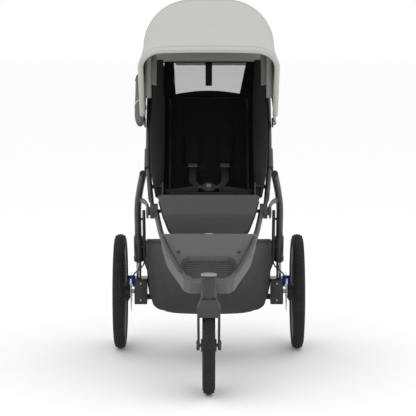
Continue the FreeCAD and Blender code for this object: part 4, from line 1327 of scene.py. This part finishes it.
class STROLLER_OT_frame(bpy.types.Operator):
    """Finishes the frame's tubes, collars, brackets and pivots, and adds the bolts that hold them"""
    bl_idname = "stroller.frame"
    bl_label = "Frame"

    def execute(self, context):
        edge = context.scene.stroller_frame.edge
        for node, finish, width in (
            ("front_tubes", "frame paint", 0.0),
            ("upper_tubes", "frame paint", 0.0),
            ("latch_collars", "leg plastic", edge),
            ("seat_side_brackets", "frame paint", edge / 2),
            ("seat_cross_bars", "frame paint", 0.0),
            ("main_pivot_tube", "frame paint", edge / 2),
            ("handlebar_pins", "steel", 0.0),
            ("canopy_clips", "black plastic", edge),
            ("canopy_bow_rear", "bow alloy", 0.0),
            ("canopy_bow_mid", "bow alloy", 0.0),
        ):
            dress(node, finish_named(finish), width)
        bolts = []
        for side in (1, -1):
            for x, y, z in ((0.2060, HUB.y, HUB.z), (0.2290, PIVOT.y, PIVOT.z)):
                bolts.append(turn_to(screw_head("bolt", 0.0045), (side, 0, 0), (side * x, y, z)))
        settle(join("pivot_bolts", bolts[::2]), finish_named("steel"), "front_frame", "steel")
        settle(join("canopy_bolts", bolts[1::2]), finish_named("steel"), "upper_frame", "steel")
        covers = []
        for side in (1, -1):
            profile = [(-0.004, 0.0215), (-0.004, 0.0245), (0.0015, 0.0245), (0.0036, 0.0205),
                       (0.0042, 0.012), (0.0036, 0.0),
                       (-0.002, 0.0)]
            covers.append(lathe("cover", profile, (side * 0.2025, HUB.y, HUB.z), axis=(side, 0, 0), steps=48))
        hubs = join("hub_covers", covers)
        smooth_by_angle(hubs, 40)
        settle(hubs, finish_named("leg plastic"), "front_frame", "black_plastic")
        return {"FINISHED"}


class STROLLER_OT_footrest(bpy.types.Operator):
    """Finishes the footrest platform, its ribbed mat and screws"""
    bl_idname = "stroller.footrest"
    bl_label = "Footrest"

    def execute(self, context):
        dress("footrest_platform", finish_named("platform plastic"), 0.0022, 3)
        dress("footwell_mat", finish_named("mat rubber"), 0.0006)
        low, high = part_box("footwell_mat")
        slope = (0.412 - 0.358) / (0.478 - 0.262)
        lines = []
        for k in range(9):
            y = low[1] + 0.022 + k * (high[1] - low[1] - 0.034) / 8
            z = 0.412 - (-0.262 - y) * slope - 0.016 + 0.0030
            half = 0.058 + 0.022 * math.sin(math.pi * (k + 1) / 11)
            lines.append(sweep(f"rib{k}", [(-half, y, z), (0, y, z), (half, y, z)],
                               [(-0.0026, -0.0004), (-0.0014, 0.0012), (0.0014, 0.0012),
                                (0.0026, -0.0004)], side=(0, 1, 0)))
        settle(join("footwell_ribs", lines), finish_named("mat rubber"), "front_frame",
               slot_of("footwell_mat"))
        heads = []
        for x in (-0.096, 0.096):
            y = -0.252
            z = 0.472 + (-0.196 - y) / 0.066 * -0.060
            normal = Vector((0, -0.673, 0.740))
            heads.append(turn_to(screw_head("screw", 0.0055), normal, Vector((x, y, z)) + normal * 0.0014))
        settle(join("platform_screw_heads", heads), finish_named("black plastic"), "front_frame",
               slot_of("platform_screws"),
               "platform_screws")
        return {"FINISHED"}


class STROLLER_OT_fork(bpy.types.Operator):
    """Finishes the steering head, the swivel lock's cap and the fork with its black ends"""
    bl_idname = "stroller.fork"
    bl_label = "Fork"

    def execute(self, context):
        dress("head_tube", finish_named("fork paint"), 0.002, 3)
        dress("swivel_lock_knob", finish_named("cap plastic"), 0.001)
        dress("fork", finish_named("fork paint"), 0.0028, 3)
        dress("front_axle", finish_named("steel"), 0.0008)
        x, y = 0.0, JOINTS["steering"]["pos_m"][1]
        rings = []
        for z, r in ((0.3172, 0.0238), (0.3800, 0.0238)):
            profile = [(-0.0016, 0.0225), (-0.0016, r + 0.0006), (-0.0008, r + 0.0012),
                       (0.0008, r + 0.0012), (0.0016, r + 0.0006),
                       (0.0016, 0.0225)]
            rings.append(lathe("ring", profile, (x, y, z), axis=(0, 0, 1), steps=56))
        settle(join("steering_head_rings", rings), finish_named("black plastic"), "front_frame",
               "black_plastic")
        ends = []
        for side in (1, -1):
            profile = [(-0.0006, 0.0), (-0.0006, 0.017), (0.0018, 0.0165), (0.0028, 0.0145), (0.0030, 0.0)]
            ends.append(lathe("end", profile, (side * 0.0354, FRONT_AXLE.y, FRONT_AXLE.z),
                              axis=(side, 0, 0), steps=40))
        drop = join("fork_end_covers", ends)
        smooth_by_angle(drop, 40)
        settle(drop, finish_named("black plastic"), "fork", "black_plastic")
        return {"FINISHED"}


# ---- wheels ----
TYRE_HALF = 0.0215


def tread_tree():
    """Rows of tread blocks round a tyre: blocks in a circle about X, each row turned by half a step."""
    tree, given, out = tree_with_inputs(
        "Tread rows", [("Block", "Object"), ("Blocks", "Int"), ("Radius", "Float"), ("Along", "Float"),
                       ("Offset", "Float"),
                       ("Lean", "Float"), ("Material", "Material")])
    nodes, link = tree.nodes, tree.links.new
    circle = nodes.new("GeometryNodeMeshCircle")
    link(given.outputs["Blocks"], circle.inputs["Vertices"])
    link(given.outputs["Radius"], circle.inputs["Radius"])
    points = nodes.new("GeometryNodeMeshToPoints")
    link(circle.outputs["Mesh"], points.inputs["Mesh"])
    where = nodes.new("GeometryNodeInputPosition")
    apart = nodes.new("ShaderNodeSeparateXYZ")
    link(where.outputs["Position"], apart.inputs["Vector"])
    angle = nodes.new("ShaderNodeMath")
    angle.operation = "ARCTAN2"
    link(apart.outputs["Y"], angle.inputs[0])
    link(apart.outputs["X"], angle.inputs[1])
    euler = nodes.new("ShaderNodeCombineXYZ")
    link(given.outputs["Lean"], euler.inputs["X"])
    link(angle.outputs[0], euler.inputs["Z"])
    copies = nodes.new("GeometryNodeInstanceOnPoints")
    link(points.outputs["Points"], copies.inputs["Points"])
    link(object_geometry(tree, given.outputs["Block"]), copies.inputs["Instance"])
    link(euler.outputs["Vector"], copies.inputs["Rotation"])
    real = nodes.new("GeometryNodeRealizeInstances")
    link(copies.outputs["Instances"], real.inputs["Geometry"])
    turn = nodes.new("GeometryNodeTransform")
    spin = nodes.new("ShaderNodeCombineXYZ")
    link(given.outputs["Offset"], spin.inputs["Z"])
    link(spin.outputs["Vector"], turn.inputs["Rotation"])
    shift = nodes.new("ShaderNodeCombineXYZ")
    link(given.outputs["Along"], shift.inputs["Z"])
    link(shift.outputs["Vector"], turn.inputs["Translation"])
    link(real.outputs["Geometry"], turn.inputs["Geometry"])
    paint = nodes.new("GeometryNodeSetMaterial")
    link(turn.outputs["Geometry"], paint.inputs["Geometry"])
    link(given.outputs["Material"], paint.inputs["Material"])
    link(paint.outputs["Geometry"], out.inputs["Geometry"])
    return tree


def tread_row(radius, along, lean, blocks, size, offset, material):
    """One row of blocks on a tyre whose axis is Z. size is (round, across, high)."""
    block = small_block("tread_block", size[1] / 2, size[0] / 2, size[2], edge=0.22)
    block.data.transform(Matrix.Rotation(math.radians(90), 4, "Y"))
    holder = add_object("tread_row", bpy.data.meshes.new("tread_row"))
    if "Tread rows" not in bpy.data.node_groups:
        tread_tree()
    mod = holder.modifiers.new("rows", "NODES")
    mod.node_group = bpy.data.node_groups["Tread rows"]
    set_inputs(mod, {"Block": block, "Blocks": blocks, "Radius": radius, "Along": along, "Offset": offset,
                     "Lean": lean,
                     "Material": material})
    apply_modifiers(holder)
    bpy.data.objects.remove(block)
    return holder


def tyre(name, node, centre, radius, blocks, body):
    """A round tyre with a ribbed tread, lettering left out: rows of blocks, shoulder ribs and a bead line."""
    rubber = finish_named("tyre rubber")
    base = TYRE_HALF - 0.0016
    profile = []
    for k in range(29):
        a = math.radians(-118 + 236 * k / 28)
        profile.append((base * math.sin(a), radius - TYRE_HALF + base * math.cos(a)))
    profile += [(0.012, radius - 0.0345), (-0.012, radius - 0.0345)]
    parts = [lathe("carcass", profile, (0, 0, 0), axis=(0, 0, 1), steps=96)]
    step = 2 * math.pi / blocks
    pitch = step * radius
    for tilt, wide, offset, long in ((0, 0.0052, 0.0, 0.70), (19, 0.0050, 0.5, 0.66),
                                     (-19, 0.0050, 0.5, 0.66),
                                     (40, 0.0056, 0.0, 0.56), (-40, 0.0056, 0.0, 0.56)):
        a = math.radians(tilt)
        parts.append(tread_row(radius - TYRE_HALF + (base - 0.0003) * math.cos(a),
                               (base - 0.0003) * math.sin(a), -a, blocks,
                               (pitch * long, wide, 0.0019), offset * step, rubber))
    for side in (1, -1):
        ring = [(side * (base * math.sin(b) + d * math.sin(b)), radius - TYRE_HALF + (base + d) * math.cos(b))
                for b, d in ((math.radians(66), -0.0004), (math.radians(67.5), 0.0008),
                             (math.radians(70.5), 0.0008),
                             (math.radians(72), -0.0004))]
        parts.append(lathe("bead", ring, (0, 0, 0), axis=(0, 0, 1), steps=96))
    whole = join(name, parts)
    whole.data.transform(Matrix.Translation(Vector(centre)) @ Matrix.Rotation(math.radians(90), 4, "Y"))
    smooth_by_angle(whole, 34)
    return settle(whole, rubber, body, "tyre_rubber", node)


class STROLLER_OT_wheels(bpy.types.Operator):
    """Builds the three treaded tyres and finishes the wheels, discs, axles and quick releases"""
    bl_idname = "stroller.wheels"
    bl_label = "Wheels"

    def execute(self, context):
        blocks = context.scene.stroller_frame.tread_blocks
        for side, label in ((1, "left"), (-1, "right")):
            body = "rear_wheel_" + label
            centre = (side * 0.3095, REAR_AXLE.y, REAR_AXLE.z)
            tyre("rear_tyre_tread_" + label, "rear_tyre_" + label, centre, 0.200, blocks, body)
            dress("rear_wheel_casting_" + label, finish_named("wheel nylon"), 0.0012)
            dress("brake_disc_" + label, finish_named("disc steel"), 0.0002, 1)
            bolts = [turn_to(screw_head("bolt", 0.0026), (-side, 0, 0),
                             (side * 0.2700, REAR_AXLE.y + 0.018 * math.cos(k * math.pi / 3),
                              REAR_AXLE.z + 0.018 * math.sin(k * math.pi / 3))) for k in range(6)]
            settle(join("disc_bolts_" + label, bolts), finish_named("steel"), body, "steel")
        tyre("front_tyre_tread", "front_tyre", tuple(FRONT_AXLE), 0.152, round(blocks * 0.76), "front_wheel")
        dress("front_wheel_casting", finish_named("wheel nylon"), 0.0012)
        dress("stub_axles", finish_named("steel"), 0.0)
        dress("wheel_release_buttons", finish_named("grey plastic"), 0.0012)
        return {"FINISHED"}


# ---- suspension, axle and brakes ----
CABLE_ROUTE = [(0.222, 0.285, 0.326), (0.222, 0.288, 0.306), (0.243, 0.292, 0.284), (0.262, 0.308, 0.268),
               (0.265, 0.314, 0.254)]


class STROLLER_OT_suspension(bpy.types.Operator):
    """Finishes the rear legs, shock absorbers, axle, parking brake and basket posts"""
    bl_idname = "stroller.suspension"
    bl_label = "Suspension and axle"

    def execute(self, context):
        edge = context.scene.stroller_frame.edge
        for node, finish, width in (
            ("rear_legs", "leg plastic", 0.0),
            ("shock_housings", "leg plastic", edge),
            ("shock_rods", "shock chrome", 0.0),
            ("shock_springs", "steel", 0.0),
            ("basket_posts", "black plastic", 0.0),
            ("axle_blocks", "leg plastic", edge * 1.4),
            ("axle_beam", "frame paint", edge / 2),
            ("parking_brake_pedal", "black plastic", edge * 1.5),
        ):
            dress(node, finish_named(finish), width)
        down = Vector((0, 0.3686, -0.9296)).normalized()
        boots, bolts = [], []
        for side in (1, -1):
            low = Vector((side * 0.243, 0.215 + (0.530 - 0.318) * 0.39655, 0.318))
            profile = [(-0.014, 0.0158), (-0.014, 0.0168), (-0.011, 0.0172), (-0.008, 0.0164),
                       (-0.005, 0.0172), (-0.002, 0.0164),
                       (0.001, 0.0166), (0.004, 0.0128), (0.004, 0.0098), (-0.006, 0.0098)]
            boots.append(lathe("boot", profile, low, axis=down, steps=48))
            for z in (0.176, 0.234):
                bolts.append(turn_to(screw_head("bolt", 0.0040), (0, -1, 0), (side * 0.237, 0.3062, z)))
        for boot in boots:
            smooth_by_angle(boot, 50)
        settle(join("shock_boots", boots), finish_named("black plastic"), "rear_legs", "black_plastic")
        settle(join("axle_block_bolts", bolts), finish_named("steel"), "axle", "steel")
        grooves = []
        for k in range(9):
            x = -0.044 + k * 0.011
            grooves.append(sweep(f"rib{k}", [(x, 0.396, 0.1842), (x, 0.438, 0.1618)],
                                 [(-0.0016, -0.0006), (-0.0009, 0.0012), (0.0009, 0.0012),
                                  (0.0016, -0.0006)]))
        settle(join("pedal_ribs", grooves), finish_named("mat rubber"), "parking_brake", "black_plastic")
        return {"FINISHED"}


class STROLLER_OT_brakes(bpy.types.Operator):
    """Finishes the disc brakes' calipers and runs their cables"""
    bl_idname = "stroller.brakes"
    bl_label = "Brakes"

    def execute(self, context):
        dress("brake_calipers", finish_named("blue anodised"), 0.0012)
        for side, label in ((1, "left"), (-1, "right")):
            curve = bpy.data.curves.new("brake_cable_" + label, "CURVE")
            curve.dimensions = "3D"
            spline = curve.splines.new("NURBS")
            spline.points.add(len(CABLE_ROUTE) - 1)
            for point, (x, y, z) in zip(spline.points, CABLE_ROUTE):
                point.co = (side * x, y, z, 1.0)
            spline.order_u = 3
            spline.use_endpoint_u = True
            spline.resolution_u = 12
            curve.bevel_depth = 0.0025
            curve.bevel_resolution = 4
            curve.use_fill_caps = True
            cable = add_object("brake_cable_" + label, curve)
            if side > 0:
                settle(cable, finish_named("black plastic"), "axle", "black_plastic", "brake_cables")
            else:
                settle(cable, finish_named("black plastic"), "axle", "black_plastic")
        return {"FINISHED"}


# ---- handlebar ----
class STROLLER_OT_handlebar(bpy.types.Operator):
    """Finishes the handlebar, its stitched grip, the brake lever and the height buttons"""
    bl_idname = "stroller.handlebar"
    bl_label = "Handlebar"

    def execute(self, context):
        edge = context.scene.stroller_frame.edge
        for node, finish, width in (
            ("handlebar", "frame paint", edge / 2), ("brake_lever_bracket", "black plastic", edge / 2),
            ("brake_lever", "black plastic", edge), ("height_buttons", "grey plastic", edge / 2),
        ):
            dress(node, finish_named(finish), width)
        low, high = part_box("handlebar_grip")
        y, z, r = (low[1] + high[1]) / 2, (low[2] + high[2]) / 2, (high[2] - low[2]) / 2
        n = 60
        profile = [(low[0], 0.0116), (low[0], r - 0.0035)]
        for k in range(n + 1):
            t = k / n
            x = low[0] + 0.003 + (high[0] - low[0] - 0.006) * t
            profile.append((x, r - 0.0004 - 0.0007 * (0.5 + 0.5 * math.cos(math.pi * 2 * t * 26))
                            * (0.06 < t < 0.94)))
        profile += [(high[0], r - 0.0035), (high[0], 0.0116)]
        grip = lathe("grip_cover", profile, (0, y, z), axis=(1, 0, 0), steps=56)
        smooth_by_angle(grip, 50)
        settle(grip, finish_named("grip cover"), "handlebar", "grip_leather", "handlebar_grip")
        seam = [(low[0] + 0.004 + (high[0] - low[0] - 0.008) * k / 40, y, z - r) for k in range(41)]
        stitches("grip_stitches", seam, finish_named("grey plastic"), "handlebar", "grip_leather")
        return {"FINISHED"}


# ---- stage ----
def area_light(name, at, aim, size, power):
    light = bpy.data.lights.new(name, "AREA")
    light.shape = "RECTANGLE"
    light.size, light.size_y = size
    light.energy = power
    obj = add_object(name, light)
    obj.location = at
    obj.rotation_euler = (Vector(aim) - Vector(at)).to_track_quat("-Z", "Y").to_euler()
    return obj


class STROLLER_OT_stage(bpy.types.Operator):
    """Sets the floor, the soft studio light and the camera"""
    bl_idname = "stroller.stage"
    bl_label = "Stage"

    def execute(self, context):
        given = context.scene.stroller_stage
        context.scene.view_settings.view_transform = "Standard"
        floor = grid_object("studio_floor", 3, 3, lambda t, u: Vector(((u - 0.5) * 60, (t - 0.5) * 60, 0.0)))
        floor.data.materials.append(finish_named("floor"))
        world = bpy.data.worlds.new("studio")
        context.scene.world = world
        world.use_nodes = True
        world.node_tree.nodes["Background"].inputs["Color"].default_value = (1, 1, 1, 1)
        world.node_tree.nodes["Background"].inputs["Strength"].default_value = 1.0 * given.light
        area_light("key_light", (-2.2, -3.6, 3.8), (0, 0, 0.6), (2.6, 2.6), 17 * given.light)
        area_light("fill_light", (2.6, -3.0, 2.2), (0, 0, 0.6), (2.6, 2.6), 9 * given.light)
        area_light("top_light", (0, 0.3, 4.2), (0, 0, 0.5), (3.2, 3.2), 14 * given.light)
        camera = bpy.data.cameras.new("camera")
        camera.lens = given.lens
        camera.sensor_width = 36.0
        camera.shift_x = -0.0019
        camera.clip_end = 100
        obj = add_object("camera", camera)
        obj.location = (0, REAR_AXLE.y - given.distance, given.height)
        obj.rotation_euler = (math.radians(90) - given.pitch, 0, 0)
        context.scene.camera = obj
        return {"FINISHED"}


# ---- panel and registration ----
OPERATORS = (
    STROLLER_OT_stage, STROLLER_OT_frame, STROLLER_OT_footrest, STROLLER_OT_fork, STROLLER_OT_wheels,
    STROLLER_OT_suspension, STROLLER_OT_brakes, STROLLER_OT_handlebar, STROLLER_OT_hood, STROLLER_OT_seat,
    STROLLER_OT_harness, STROLLER_OT_leg_flap, STROLLER_OT_basket, STROLLER_OT_pocket,
)
PROPERTIES = (
    ("stroller_cloth", StrollerClothProperties), ("stroller_frame", StrollerFrameProperties),
    ("stroller_stage", StrollerStageProperties),
)


class STROLLER_PT_panel(bpy.types.Panel):
    """Lists the stroller's colours and sizes, and the operators that build it"""
    bl_label = "Jogging stroller"
    bl_idname = "STROLLER_PT_panel"
    bl_space_type = "VIEW_3D"
    bl_region_type = "UI"
    bl_category = "Stroller"

    def draw(self, context):
        for name, group in PROPERTIES:
            box = self.layout.box()
            for key in group.__annotations__:
                box.prop(getattr(context.scene, name), key)
        column = self.layout.column()
        for operator in OPERATORS:
            column.operator(operator.bl_idname)


def register():
    for name, group in PROPERTIES:
        bpy.utils.register_class(group)
        setattr(bpy.types.Scene, name, bpy.props.PointerProperty(type=group))
    for operator in OPERATORS:
        bpy.utils.register_class(operator)
    bpy.utils.register_class(STROLLER_PT_panel)


def unregister():
    bpy.utils.unregister_class(STROLLER_PT_panel)
    for operator in reversed(OPERATORS):
        bpy.utils.unregister_class(operator)
    for name, group in reversed(PROPERTIES):
        delattr(bpy.types.Scene, name)
        bpy.utils.unregister_class(group)


def main():
    register()
    for operator in OPERATORS:
        group, name = operator.bl_idname.split(".")
        getattr(getattr(bpy.ops, group), name)()


if __name__ == "__main__":
    main()
